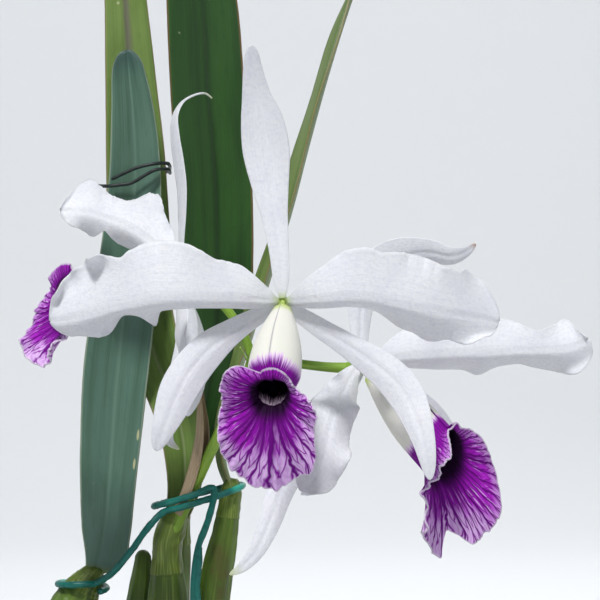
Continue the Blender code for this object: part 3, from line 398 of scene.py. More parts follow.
class Dye:
    """A material under construction: its nodes, its patterns and its shader."""

    def __init__(self, name: str) -> None:
        """Starts an empty material of that name."""
        self.material = bpy.data.materials.new(name)
        self.material.use_nodes = True
        self.tree = self.material.node_tree
        self.shader = self.tree.nodes["Principled BSDF"]

    def node(
        self, kind: str, settings: dict, values: dict[int | str, Value], output: int | str = 0
    ) -> Channel:
        """Adds a node.

        Args:
            kind: The node's type.
            settings: Its own settings, with a ramp's stops under the name stops.
            values: The values or links of its sockets.
            output: The socket to read.

        Returns:
            That socket.
        """
        made = self.tree.nodes.new(kind)
        for name, setting in settings.items():
            if name == "stops":
                self._set_stops(made.color_ramp, setting)
            else:
                setattr(made, name, setting)
        for place, value in values.items():
            if isinstance(value, Channel):
                self.tree.links.new(value.socket, made.inputs[place])
            else:
                made.inputs[place].default_value = value
        return Channel(self, made.outputs[output])

    @staticmethod
    def _set_stops(ramp: bpy.types.ColorRamp, stops: Sequence[tuple[float, Colour]]) -> None:
        """Places a ramp's stops."""
        while len(ramp.elements) < len(stops):
            ramp.elements.new(1.0)
        for element, (position, colour) in zip(ramp.elements, stops):
            element.position = position
            element.color = colour

    def place(self, coordinates: Coordinates, scale: float | Triple) -> Channel:
        """The place on the piece, stretched by a scale, or by one for each axis."""
        scale = scale if isinstance(scale, tuple) else (scale, scale, scale)
        where = self.node("ShaderNodeTexCoord", {}, {}, coordinates.value)
        return self.node("ShaderNodeMapping", {}, {"Vector": where, "Scale": scale})

    def surface(self) -> tuple[Channel, Channel]:
        """The place along and across the surface, each from 0 to 1."""
        where = self.node("ShaderNodeUVMap", {"uv_map": SURFACE_MAP}, {})
        parts = self.node("ShaderNodeSeparateXYZ", {}, {0: where})
        return parts, Channel(self, parts.socket.node.outputs[1])

    def rim(self) -> Channel:
        """The distance to the rim of a lip, in centimetres."""
        return self.node("ShaderNodeAttribute", {"attribute_name": RIM_LAYER}, {}, "Fac")

    def cloud(
        self,
        scale: float | Triple,
        coordinates: Coordinates = Coordinates.OBJECT,
        detail: float = 3.0,
        roughness: float = 0.55,
    ) -> Channel:
        """Cloudy noise around 0.5, stretched by a scale."""
        where = self.place(coordinates, scale)
        values = {"Vector": where, "Scale": 1.0, "Detail": detail, "Roughness": roughness}
        return self.node("ShaderNodeTexNoise", {}, values)

    def strands(self, along: float, across: float, detail: float = 3.0) -> Channel:
        """Cloudy noise that follows the surface, so many times along it and across it."""
        return self.cloud((along, across, 1.0), Coordinates.SURFACE, detail)

    def cells(self, scale: float) -> Channel:
        """The distance to the middle of the nearest of many small cells."""
        where = self.place(Coordinates.OBJECT, scale)
        return self.node("ShaderNodeTexVoronoi", {}, {"Vector": where, "Scale": 1.0})

    def mix(self, share: Channel | float, first: Value, second: Value) -> Channel:
        """The first colour where the share is 0 and the second where it is 1."""
        values = {0: share, 6: first, 7: second}
        return self.node("ShaderNodeMix", {"data_type": "RGBA"}, values, 2)

    def ramp(self, value: Channel, stops: Sequence[tuple[float, Colour]]) -> Channel:
        """The colour that a value has on a ramp."""
        return self.node("ShaderNodeValToRGB", {"stops": stops}, {0: value})

    def relief(self, height: Channel, depth: float, below: Channel | None = None) -> Channel:
        """A normal that follows a height of that depth in metres, over another normal."""
        values = {"Strength": 1.0, "Distance": depth, "Height": height}
        if below is not None:
            values["Normal"] = below
        return self.node("ShaderNodeBump", {}, values)

    def finish(
        self,
        colour: Value,
        roughness: Channel | float,
        normal: Channel | None = None,
        **constants: float | tuple[float, ...],
    ) -> Material:
        """Feeds the shader.

        Args:
            colour: The base colour.
            roughness: The roughness.
            normal: The relief, if there is one.
            constants: Values of other sockets, with _ for each space in their names.

        Returns:
            The finished material.
        """
        fed = {"Base Color": colour, "Roughness": roughness, "Normal": normal}
        for name, value in fed.items():
            if isinstance(value, Channel):
                self.tree.links.new(value.socket, self.shader.inputs[name])
            elif value is not None:
                self.shader.inputs[name].default_value = value
        for name, value in constants.items():
            self.shader.inputs[name.replace("_", " ")].default_value = value
        return self.material


@dataclass(frozen=True)
class TepalFinish:
    """The crystalline white skin of a petal or sepal, green at its foot."""

    name: str
    body: Colour = tone("F4F5FA")
    shade: Colour = tone("D9DAE8")
    foot: Colour = tone("B9CF70")
    tip: Colour = tone("E9EAC8")
    foot_length: float = 0.085
    tip_start: float = 1.0
    veins: float = 13.0

    def dye(self) -> Material:
        """Makes the material."""
        dye = Dye(self.name)
        along, across = dye.surface()
        drift = dye.strands(5.0, 3.0)
        veins = (across * self.veins + drift * 1.2).line(0.4)
        fine = (across * (self.veins * 3) + drift * 3.0).line(0.5)
        cloud = dye.cloud(75.0, detail=3.0)
        wrinkles = dye.cloud(760.0, detail=4.0)
        grain = dye.cells(2300.0)
        colour = dye.mix(veins * 0.14 + fine * 0.04, self.body, self.shade)
        colour = dye.mix(cloud.rise(0.42, 0.8) * 0.35, colour, self.shade)
        colour = dye.mix(wrinkles.rise(0.42, 0.72) * 0.35, colour, self.shade)
        colour = dye.mix((along + drift * 0.03).rise(self.foot_length, 0.0) * 0.9, colour, self.foot)
        if self.tip_start < 1:
            reached = (along + drift * 0.04).rise(self.tip_start, 1.03)
            colour = dye.mix(reached * 0.9, colour, self.tip)
        height = dye.relief(veins * 0.6 + fine * 0.4, 0.00004)
        height = dye.relief(wrinkles, 0.00022, height)
        normal = dye.relief(grain, 0.00006, height)
        return dye.finish(
            colour,
            cloud * 0.16 + 0.38,
            normal,
            Subsurface_Weight=0.3,
            Subsurface_Radius=(1.0, 0.95, 0.9),
            Subsurface_Scale=0.0014,
            Specular_IOR_Level=0.35,
            Sheen_Weight=0.15,
        )


@dataclass(frozen=True)
class LipFinish:
    """The purple of a lip: a white tube with a painted shadow line under its lapped edge, a throat painted
    near-black as shade, forking veins, pale flank streaks painted as highlights, and a thin pale rim.
    """

    name: str
    side: Side
    tube: Colour = tone("F6F4EA")
    foot: Colour = tone("C9DA80")
    # Painted shade: the near-black put into the throat inside the mouth.
    throat_shade: Colour = tone("22002A")
    deep: Colour = tone("760C8C")
    purple: Colour = tone("940EAA")
    magenta: Colour = tone("BE30D4")
    lilac: Colour = tone("F2C8FF")
    # The colour of the painted shadow line that the lapped edge casts along the tube.
    seam_shadow: Colour = tone("9A94A8")
    edge: Colour = tone("F0E2F6")
    teeth: Colour = tone("F6D6EE")
    front_veins: float = 5.0
    flank_veins: float = 20.0
    forks: float = 7.0

    def dye(self) -> Material:
        """Makes the material."""
        dye = Dye(self.name)
        along, across = dye.surface()
        rim = dye.rim()
        drift = dye.strands(3.5, 9.0)
        slow = dye.strands(3.0, 7.0)
        fray = dye.strands(5.0, 190.0, 2.0)
        comb = dye.strands(2.0, 80.0, 1.0)
        strands = dye.strands(3.5, 120.0, 2.0)
        aside = abs(across - 0.5) * 2
        course = (across - 0.5) * 2 * (aside * self.flank_veins + self.front_veins)
        course = course + (drift - 0.5) * 1.7
        cell = abs((course + 0.5).saw() - 0.5) * 2
        veins = (cell - (1.04 - along) * 0.62).rise(0.24, 0.02)
        forks = ((cell * 0.14 - along) * self.forks + drift * 0.8).line(0.4)
        forks = forks * cell.rise(0.0, 0.3) * along.rise(0.6, 0.68)
        fine = (course * 4 + drift * 2).line(0.8) * along.rise(0.52, 0.7)
        hood = aside.rise(0.92, 0.78)
        pale = (along - aside * 0.6 + (slow - 0.5) * 0.6).rise(0.56, 0.72)
        # Painted highlight: pale streaks on the flanks stand in for the glints on the crinkles.
        streaks = (strands + (slow - 0.5) * 0.5).rise(0.56, 0.66)
        streaks = streaks * along.rise(0.58, 0.76) * aside.rise(0.12, 0.3) * hood * 0.85
        margin = (rim + (fray - 0.5) * 0.3).rise(0.6, 0.1) * hood * 0.65
        start = self.deep if self.side is Side.FACE else self.purple
        ground = dye.mix(along.rise(0.52, 0.70), start, self.purple)
        ground = dye.mix(along.rise(0.62, 0.86), ground, self.magenta)
        # Lilac where the lobe is pale and at its margin, and as the painted highlight streaks.
        ground = dye.mix(pale.most(margin).most(streaks), ground, self.lilac)
        colour = dye.mix(fine * 0.28, ground, self.purple)
        colour = dye.mix(forks, colour, self.purple)
        colour = dye.mix(veins, colour, self.deep)
        if self.side is Side.FACE:
            # Painted shade: the throat inside the mouth is painted near-black.
            dark = (along + (fray - 0.5) * 0.12 - aside * 0.08).rise(0.62, 0.50)
            inside = aside.rise(0.999, 0.99).most(along.rise(0.37, 0.33))
            colour = dye.mix(dark * inside, colour, self.throat_shade)
            teeth = (along + (comb - 0.5) * 0.30).rise(0.436, 0.446) * along.rise(0.478, 0.472)
            colour = dye.mix(teeth * aside.rise(0.5, 0.3), colour, self.teeth)
        else:
            tube = dye.mix(along.rise(0.06, 0.0), self.tube, self.foot)
            # Painted shadow: a thin grey line where the lapped edge would shade the tube.
            tube = dye.mix(across.rise(0.992, 0.998) * 0.6, tube, self.seam_shadow)
            reached = along + (fray - 0.5) * 0.09 + (slow - 0.5) * 0.06
            tube = dye.mix(reached.rise(0.345, 0.375), tube, self.lilac)
            colour = dye.mix(reached.rise(0.36, 0.39), tube, colour)
        colour = dye.mix((rim + (fray - 0.5) * 0.05).rise(0.075, 0.035) * 0.85, colour, self.edge)
        height = dye.relief((veins * 0.6 + forks * 0.4 - streaks * 0.5) * along.rise(0.36, 0.46), 0.00032)
        normal = dye.relief(dye.cells(1800.0), 0.00006, height)
        return dye.finish(
            colour,
            drift * 0.2 + 0.55,
            normal,
            Subsurface_Weight=0.08,
            Subsurface_Radius=(1.0, 0.4, 1.0),
            Subsurface_Scale=0.001,
            Specular_IOR_Level=0.12,
        )


@dataclass(frozen=True)
class LeafFinish:
    """A waxy strap leaf with fine lengthwise fibres, a midrib, mottling and a dry thin edge."""

    name: str
    body: Colour
    dark: Colour
    light: Colour
    midrib: Colour
    edge: Colour = tone("8A8454")
    gloss: float = 0.42
    blotch: float = 0.5
    foot: Colour = tone("8C9A4E")
    dried: float = 0.0
    tip_dark: float = 0.0
    scars: tuple[tuple[float, float], ...] = ()

    def dye(self) -> Material:
        """Makes the material."""
        dye = Dye(self.name)
        along, across = dye.surface()
        drift = dye.strands(2.0, 5.0)
        fibres = dye.strands(3.0, 150.0, 2.0)
        patches = dye.cloud((22.0, 22.0, 9.0))
        weave = dye.cloud((420.0, 420.0, 120.0), detail=2.0)
        aside = abs(across - 0.5) * 2
        colour = dye.mix(drift.rise(0.35, 0.7), self.body, self.dark)
        colour = dye.mix(patches.rise(0.5, 0.72) * self.blotch, colour, self.light)
        colour = dye.mix(fibres.rise(0.42, 0.7) * 0.35, colour, self.light)
        colour = dye.mix(weave.rise(0.5, 0.75) * 0.25, colour, self.dark)
        colour = dye.mix((aside + (drift - 0.5) * 0.1).rise(0.15, 0.02) * 0.75, colour, self.midrib)
        specks = dye.cells(190.0).rise(0.16, 0.09) * dye.cloud(60.0).rise(0.6, 0.68)
        colour = dye.mix(specks * 0.7, colour, tone("C9CFA2"))
        colour = dye.mix((aside + (fibres - 0.5) * 0.05).rise(0.955, 0.985), colour, self.edge)
        colour = dye.mix(along.rise(0.07, 0.0) * 0.8, colour, self.foot)
        if self.dried:
            streak = (aside + (drift - 0.5) * 0.3).rise(0.3, 0.06) * along.rise(0.68, 0.78)
            colour = dye.mix(streak * self.dried, colour, tone("6E6A5C"))
        if self.tip_dark:
            tip = (along + (drift - 0.5) * 0.12).rise(0.88, 0.98)
            colour = dye.mix(tip * self.tip_dark, colour, tone("34504C"))
        for place, side in self.scars:
            length, width = (along - place) * 90 + (drift - 0.5), (across - side) * 34
            scar = (length * length + width * width + (fibres - 0.5)).rise(0.8, 0.3)
            colour = dye.mix(scar * 0.8, colour, tone("CFCB9A"))
        height = dye.relief(fibres, 0.00012)
        normal = dye.relief(weave, 0.00008, height)
        return dye.finish(
            colour,
            patches * 0.25 + (self.gloss - 0.1),
            normal,
            Specular_IOR_Level=0.45,
            Coat_Weight=0.12,
            Coat_Roughness=0.35,
        )


@dataclass(frozen=True)
class SkinFinish:
    """The waxy green skin of a pseudobulb or stalk, with lengthwise streaks."""

    name: str
    body: Colour
    dark: Colour
    light: Colour
    stain: Colour = tone("6B5335")
    stained: float = 0.5
    gloss: float = 0.42
    foot: Colour = tone("B5D066")
    foot_length: float = 0.0
    tip: Colour = tone("CFE070")
    tip_start: float = 1.0

    def dye(self) -> Material:
        """Makes the material."""
        dye = Dye(self.name)
        streaks = dye.strands(2.0, 46.0, 2.0)
        patches = dye.cloud((55.0, 55.0, 16.0))
        grain = dye.cloud((900.0, 900.0, 300.0), detail=2.0)
        colour = dye.mix(patches.rise(0.38, 0.62), self.body, self.dark)
        colour = dye.mix(streaks.rise(0.45, 0.72) * 0.55, colour, self.light)
        worn = dye.cloud((38.0, 38.0, 24.0), detail=5.0).rise(0.56, 0.68)
        colour = dye.mix(worn * self.stained, colour, self.stain)
        colour = dye.mix(grain.rise(0.5, 0.8) * 0.2, colour, self.dark)
        along, _ = dye.surface()
        if self.foot_length:
            colour = dye.mix(along.rise(self.foot_length, self.foot_length * 0.5), colour, self.foot)
        if self.tip_start < 1:
            colour = dye.mix(along.rise(self.tip_start, 0.99), colour, self.tip)
        height = dye.relief(streaks, 0.00025)
        normal = dye.relief(grain, 0.00006, height)
        return dye.finish(
            colour,
            worn * 0.2 + self.gloss,
            normal,
            Specular_IOR_Level=0.45,
            Subsurface_Weight=0.08,
            Subsurface_Radius=(0.6, 1.0, 0.3),
            Subsurface_Scale=0.002,
        )


@dataclass(frozen=True)
class PaperyFinish:
    """A dry, fibrous sheath that has gone brown in patches."""

    name: str
    body: Colour = tone("B7A080")
    dark: Colour = tone("6E5038")
    light: Colour = tone("DCD2BC")

    def dye(self) -> Material:
        """Makes the material."""
        dye = Dye(self.name)
        fibres = dye.strands(2.0, 90.0, 3.0)
        patches = dye.cloud((60.0, 60.0, 30.0), detail=5.0)
        along, _ = dye.surface()
        colour = dye.mix(patches.rise(0.42, 0.66), self.body, self.dark)
        colour = dye.mix(fibres.rise(0.48, 0.7) * 0.7, colour, self.light)
        colour = dye.mix((along + (patches - 0.5) * 0.3).rise(0.86, 1.02) * 0.7, colour, self.dark)
        normal = dye.relief(fibres, 0.0003)
        return dye.finish(colour, patches * 0.2 + 0.62, normal, Specular_IOR_Level=0.3)


@dataclass(frozen=True)
class RootFinish:
    """The spongy grey-white coat of a root, greener where it is young."""

    name: str
    body: Colour = tone("B9B6A4")
    dark: Colour = tone("7C7866")
    green: Colour = tone("8C9A62")

    def dye(self) -> Material:
        """Makes the material."""
        dye = Dye(self.name)
        patches = dye.cloud(90.0, detail=5.0)
        pores = dye.cloud(1400.0, detail=2.0)
        along, _ = dye.surface()
        colour = dye.mix(patches.rise(0.4, 0.68), self.body, self.dark)
        colour = dye.mix(along.rise(0.75, 1.0) * 0.8, colour, self.green)
        colour = dye.mix(pores.rise(0.5, 0.7) * 0.3, colour, self.dark)
        return dye.finish(colour, 0.8, dye.relief(pores, 0.0002), Specular_IOR_Level=0.25)


@dataclass(frozen=True)
class BarkFinish:
    """Fir bark: red brown with dark cracks and grey weathered faces."""

    name: str
    body: Colour = tone("6B4229")
    dark: Colour = tone("2E1B11")
    light: Colour = tone("9C7450")
    grey: Colour = tone("8A8072")

    def dye(self) -> Material:
        """Makes the material."""
        dye = Dye(self.name)
        blocks = dye.cloud(110.0, detail=1.0)
        cracks = dye.cloud((520.0, 300.0, 900.0), detail=6.0, roughness=0.7)
        colour = dye.ramp(
            blocks, [(0.3, self.dark), (0.45, self.body), (0.58, self.light), (0.7, self.grey)]
        )
        colour = dye.mix(cracks.rise(0.42, 0.62), self.dark, colour)
        return dye.finish(colour, 0.86, dye.relief(cracks, 0.0008), Specular_IOR_Level=0.25)


@dataclass(frozen=True)
class ClayFinish:
    """Fired clay with fine grit, faint turning lines and pale lime stains."""

    name: str
    body: Colour = tone("B4643F")
    dark: Colour = tone("8E4A2E")
    lime: Colour = tone("D9C6B2")

    def dye(self) -> Material:
        """Makes the material."""
        dye = Dye(self.name)
        patches = dye.cloud((18.0, 18.0, 26.0), detail=5.0)
        turning = dye.cloud((2.0, 2.0, 420.0), detail=2.0)
        grit = dye.cloud(1500.0, detail=3.0)
        stains = dye.cloud((34.0, 34.0, 20.0), detail=6.0, roughness=0.65)
        colour = dye.mix(patches.rise(0.38, 0.66), self.body, self.dark)
        colour = dye.mix(stains.rise(0.55, 0.72) * 0.55, colour, self.lime)
        colour = dye.mix(grit.rise(0.55, 0.75) * 0.3, colour, self.dark)
        height = dye.relief(turning, 0.0003)
        return dye.finish(colour, 0.88, dye.relief(grit, 0.00025, height), Specular_IOR_Level=0.3)


@dataclass(frozen=True)
class TieFinish:
    """Soft coated wire, a little scuffed, with patches of painted highlight."""

    name: str
    body: Colour
    dark: Colour
    # light is the tone of the painted highlight patches.
    light: Colour
    gloss: float

    def dye(self) -> Material:
        """Makes the material."""
        dye = Dye(self.name)
        scuffs = dye.cloud(300.0, detail=4.0)
        highlight_patches = dye.cloud(45.0, detail=1.0)
        colour = dye.mix(scuffs.rise(0.42, 0.68) * 0.4, self.body, self.dark)
        # Painted highlight: broad patches of the light tone stand in for the glints on the wire.
        colour = dye.mix(highlight_patches.rise(0.55, 0.68) * 0.8, colour, self.light)
        normal = dye.relief(scuffs, 0.00015)
        return dye.finish(colour, scuffs * 0.3 + self.gloss, normal, Specular_IOR_Level=0.5)


WHITE = TepalFinish("tepal_white")
WHITE_BROWN_TIP = TepalFinish("tepal_white_brown_tip", tip=tone("B98E6C"), tip_start=0.95)
WHITE_GREEN_TIP = TepalFinish("tepal_white_green_tip", tip=tone("CDD8A0"), tip_start=0.88)
PURPLE_FACE = LipFinish("lip_purple_face", Side.FACE)
PURPLE_BACK = LipFinish("lip_purple_back", Side.BACK)
LEAF_BLUE = LeafFinish(
    "leaf_blue_green", tone("587A6A"), tone("44654F"), tone("6F9080"), tone("6A8B7A"),
    edge=tone("8FA08A"), blotch=0.8, tip_dark=0.75, scars=((0.376, 0.05), (0.33, 0.06)),
)
LEAF_PALE = LeafFinish(
    "leaf_pale_green", tone("6F8B3F"), tone("53702C"), tone("8FA75C"), tone("8C9A6A"),
    dried=0.85,
)
LEAF_DEEP = LeafFinish(
    "leaf_deep_green", tone("28521A"), tone("17390F"), tone("386824"), tone("16340F"),
    edge=tone("6E5A33"),
)
LEAF_SLIM = LeafFinish(
    "leaf_slim_green", tone("7A9150"), tone("5C7638"), tone("93A866"), tone("6B8546")
)
BULB_SKIN = SkinFinish(
    "pseudobulb_skin", tone("6A8A2C"), tone("43591E"), tone("93AC4A"), stained=0.75
)
NECK_SKIN = SkinFinish("neck_skin", tone("7A9038"), tone("566B24"), tone("A9BC62"), stained=0.35)
STEM_SKIN = SkinFinish(
    "stem_skin", tone("8DB63A"), tone("6A9428"), tone("B4D25E"), tip=tone("DCEB84"),
    stained=0.1, gloss=0.38, tip_start=0.86,
)
COLUMN_SKIN = SkinFinish(
    "column_skin", tone("ECE9CF"), tone("C98FD0"), tone("F6F4E4"), stain=tone("8A3A99"),
    stained=0.6, foot_length=0.3,
)
PAPER = PaperyFinish("dry_sheath_paper")
ROOT_COAT = RootFinish("root_coat")
BARK = BarkFinish("fir_bark")
CLAY = ClayFinish("fired_clay")
# The third tone of each tie is its painted highlight.
TEAL = TieFinish("tie_teal", tone("0F7468"), tone("093F3A"), tone("3CB8A0"), 0.25)
BLACK = TieFinish("tie_black", tone("15201F"), tone("2B3A38"), tone("1E2B2C"), 0.3)


FOLD_LENGTH = 0.0022
FOLD_SHARE = 0.75
TIP_SHARE = 0.10
NARROWEST = 0.9
WAVE_LAG = 0.37
WAVE_START = 3
SECTION_PARTS = 12
CURL_START = 0.55
EDGE_START = 0.4
GROOVE_HALF_WIDTH = 0.0011
SECOND_HALF_SEED = 7.7


def half_section(width: float, bend: float, curl: float, reach: float) -> tuple[float, float]:
    """Follows half of a blade's section from its midrib.

    Args:
        width: The half-width, in metres.
        bend: How far the half folds back in all, in degrees.
        curl: How much further its edge rolls, in degrees.
        reach: The share of the half-width to go.

    Returns:
        How far out and how far back the point lies, in metres.
    """
    out = back = 0.0
    step = width * reach / SECTION_PARTS
    for part in range(SECTION_PARTS):
        reached = reach * (part + 0.5) / SECTION_PARTS
        folded = 1 - math.exp(-reached * width / FOLD_LENGTH)
        angle = math.radians(bend) * (FOLD_SHARE * folded + (1 - FOLD_SHARE) * reached)
        angle += math.radians(curl) * eased(CURL_START, 1.0, reached)
        out += step * math.cos(angle)
        back += step * math.sin(angle)
    return out, back


def tip_rounding(share: float, start: float) -> float:
    """A factor that rounds a blade's outline to a blunt tip."""
    if share <= start:
        return 1.0
    inside = (share - start) / (1 - start)
    return max(TIP_SHARE, math.sqrt(max(0.0, 1 - inside * inside)))


@dataclass(frozen=True)
class Lobe:
    """A place on a blade's edge that stands out or rolls more than the rest.

    share is how far along it is and spread how long it is. first says which edge it is
    on, wider is its extra width in mm, bend its extra fold and curl the extra roll of its
    edge, in degrees, and crimp the height of its small wrinkles, in mm.
    """

    share: float
    spread: float
    first: bool
    wider: float = 0.0
    bend: float = 0.0
    curl: float = 0.0
    crimp: float = 0.0


@dataclass(frozen=True)
class Station:
    """One step along a blade: its middle, its directions, and its half-widths and bends."""

    middle: Vector
    across: Vector
    normal: Vector
    widths: tuple[float, float]
    bends: tuple[float, float]


@dataclass
class Blade:
    """A petal, sepal or leaf: a ribbon along rows of (x, y, z, first and second half-width) in mm.

    A row with one half-width has it on both sides. The first half lies on the side that
    first_side points to, and face is the way that the ribbon looks where it starts. Each
    bend is how far that half folds back from the face, in degrees, at even steps along the
    ribbon, and turn twists the ribbon. wave is the slow wave of its edges and ruffle the
    quick one, in mm, groove is the depth of the channel over its midrib, and jag how uneven
    its outline is.
    """

    name: str
    rows: list[Row]
    face: Vector = field(default_factory=FRONT.copy)
    first_side: Vector = field(default_factory=UP.copy)
    first_bend: tuple[float, ...] = (12, 18)
    second_bend: tuple[float, ...] = (12, 18)
    turn: tuple[float, ...] = (0, 0)
    wave: float = 0.0
    wave_count: float = 3.0
    ruffle: float = 0.0
    ruffle_count: float = 11.0
    jag: float = 0.0
    curl: float = 0.0
    groove: float = 0.35
    lobes: tuple[Lobe, ...] = ()
    tip_start: float = 0.86
    steps: int = 110
    columns: int = 36
    edge_share: float = 0.45

    def __post_init__(self) -> None:
        """Gives each row its two half-widths."""
        self.rows = [(*row[:4], row[-1]) for row in self.rows]

    def seed(self) -> float:
        """A number that gives each blade its own noise."""
        return sum(abs(value) for value in self.rows[-1][:3]) * 0.137

    def stations(self, rows: list[Row]) -> list[Station]:
        """Works out every step along the ribbon.

        Args:
            rows: The rows, in the frame of the plant.

        Returns:
            The steps, from the foot to the tip.
        """
        shares = [i / self.steps for i in range(self.steps + 1)]
        points = [Vector(smooth(rows, share)[:3]) * MM for share in shares]
        frames = carried_frames(points, self.face)
        tangent, normal = frames[0]
        sign = 1.0 if tangent.cross(normal).dot(self.first_side) > 0 else -1.0
        found = []
        for share, point, (tangent, normal) in zip(shares, points, frames):
            twist = Matrix.Rotation(math.radians(smooth_value(self.turn, share)), 3, tangent)
            normal = twist @ normal
            first, second = smooth(rows, share)[3:5]
            rounding = tip_rounding(share, self.tip_start) * MM
            widths = (max(NARROWEST, first) * rounding, max(NARROWEST, second) * rounding)
            bends = (smooth_value(self.first_bend, share), smooth_value(self.second_bend, share))
            found.append(Station(point, sign * tangent.cross(normal), normal, widths, bends))
        return found

    def point(self, station: Station, share: float, side: float) -> Vector:
        """Finds one point of the ribbon.

        Args:
            station: The step that it is on.
            share: How far along it is, from 0 to 1.
            side: Where it is across, from -1 to 1, with the first half above 0.

        Returns:
            The point, in metres.
        """
        first = side > 0
        half = 0 if first else 1
        seed = self.seed() + (0.0 if first else SECOND_HALF_SEED)
        width, bend, curl, crimp = station.widths[half], station.bends[half], 0.0, 0.0
        for lobe in self.lobes:
            if lobe.first == first:
                strength = bump_at(share, lobe.share, lobe.spread)
                width += lobe.wider * MM * strength
                bend += lobe.bend * strength
                curl += lobe.curl * strength
                crimp += lobe.crimp * strength
        uneven = wander(share * 9, seed) + 0.6 * wander(share * 26, seed)
        width *= 1 + self.jag * (uneven + 0.45 * wander(share * 70, seed))
        curl += self.curl * wander(share * 6, seed, 3.0)
        out, back = half_section(width, bend, curl, abs(side))
        angle = 2 * math.pi * (self.wave_count * share + (0.0 if first else WAVE_LAG))
        ripple = self.wave * side * side * math.sin(angle) * min(1.0, WAVE_START * share)
        edge = max(0.0, (abs(side) - EDGE_START) / (1 - EDGE_START)) ** 1.7
        quick = math.sin(2 * math.pi * (self.ruffle_count * share + wander(share * 5, seed)))
        ripple += self.ruffle * edge * (quick + 0.7 * wander(share * 30, seed)) * eased(0.0, 0.3, share)
        ripple += crimp * edge * wander(share * 60, side * 11, seed)
        channel = math.exp(-((abs(side) * width / GROOVE_HALF_WIDTH) ** 2))
        ripple -= self.groove * channel * eased(0.0, 0.1, share)
        place = station.middle + station.across * math.copysign(out, side)
        return place - station.normal * back + station.normal * ripple * MM

    def sheet(self, rows: list[Row]) -> BMesh:
        """The ribbon's middle surface."""
        stations = self.stations(rows)

        def place(share: float, side: float) -> Vector:
            """One point of the ribbon."""
            return self.point(stations[round(share * self.steps)], share, side)

        return laid_sheet(self.steps, self.columns, place, self.edge_share)


@dataclass
class Stalk:
    """A round stalk along rows of (x, y, z, radius) in mm, ridged lengthwise and round-ended.

    relief is how deep its ridges are, as a share of its radius, uneven how much its
    skin wanders, and rings the places along it that swell, as shares.
    """

    rows: list[Row]
    sides: int = 20
    steps: int = 60
    reference: Vector = field(default_factory=UP.copy)
    ridges: int = 0
    relief: float = 0.0
    uneven: float = 0.0
    blunt: float = 0.0
    rings: tuple[float, ...] = ()
    ring_height: float = 0.0
    ring_spread: float = 0.012

    def point(self, share: float, angle: float) -> Vector:
        """The point at a share along and an angle round it."""
        x, y, z, radius = smooth(self.rows, share)
        tangent = tangent_at(self.rows, share)
        side = tangent.cross(self.reference).normalized()
        radius *= 1 + self.relief * math.cos(self.ridges * angle)
        around = Vector((math.cos(angle), math.sin(angle)))
        radius *= 1 + self.uneven * wander(around.x * 1.6, around.y * 1.6 + x, share * 9 + y)
        radius *= 1 + self.ring_height * sum(bump_at(share, ring, self.ring_spread) for ring in self.rings)
        if self.blunt and not self.blunt <= share <= 1 - self.blunt:
            inside = (self.blunt - min(share, 1 - share)) / self.blunt
            radius *= math.sqrt(1 - 0.85 * inside * inside)
        out = around.x * side + around.y * side.cross(tangent)
        return (Vector((x, y, z)) + radius * out) * MM

    def tube(self) -> BMesh:
        """The stalk's closed skin."""
        return laid_tube(self.steps, self.sides, self.point)


SEPAL_SETBACK = 0.5
PETAL_ADVANCE = 1.2
TEPAL_START = 1.6
TEPAL_FOOT_HALF_WIDTH = 1.2
TEPAL_THICKNESS = 0.0007
LIP_THICKNESS = 0.0006


class Whorl(Enum):
    """The two rings of tepals, by how far each stands forward of the bloom's heart, in mm."""

    SEPALS = -SEPAL_SETBACK
    PETALS = PETAL_ADVANCE


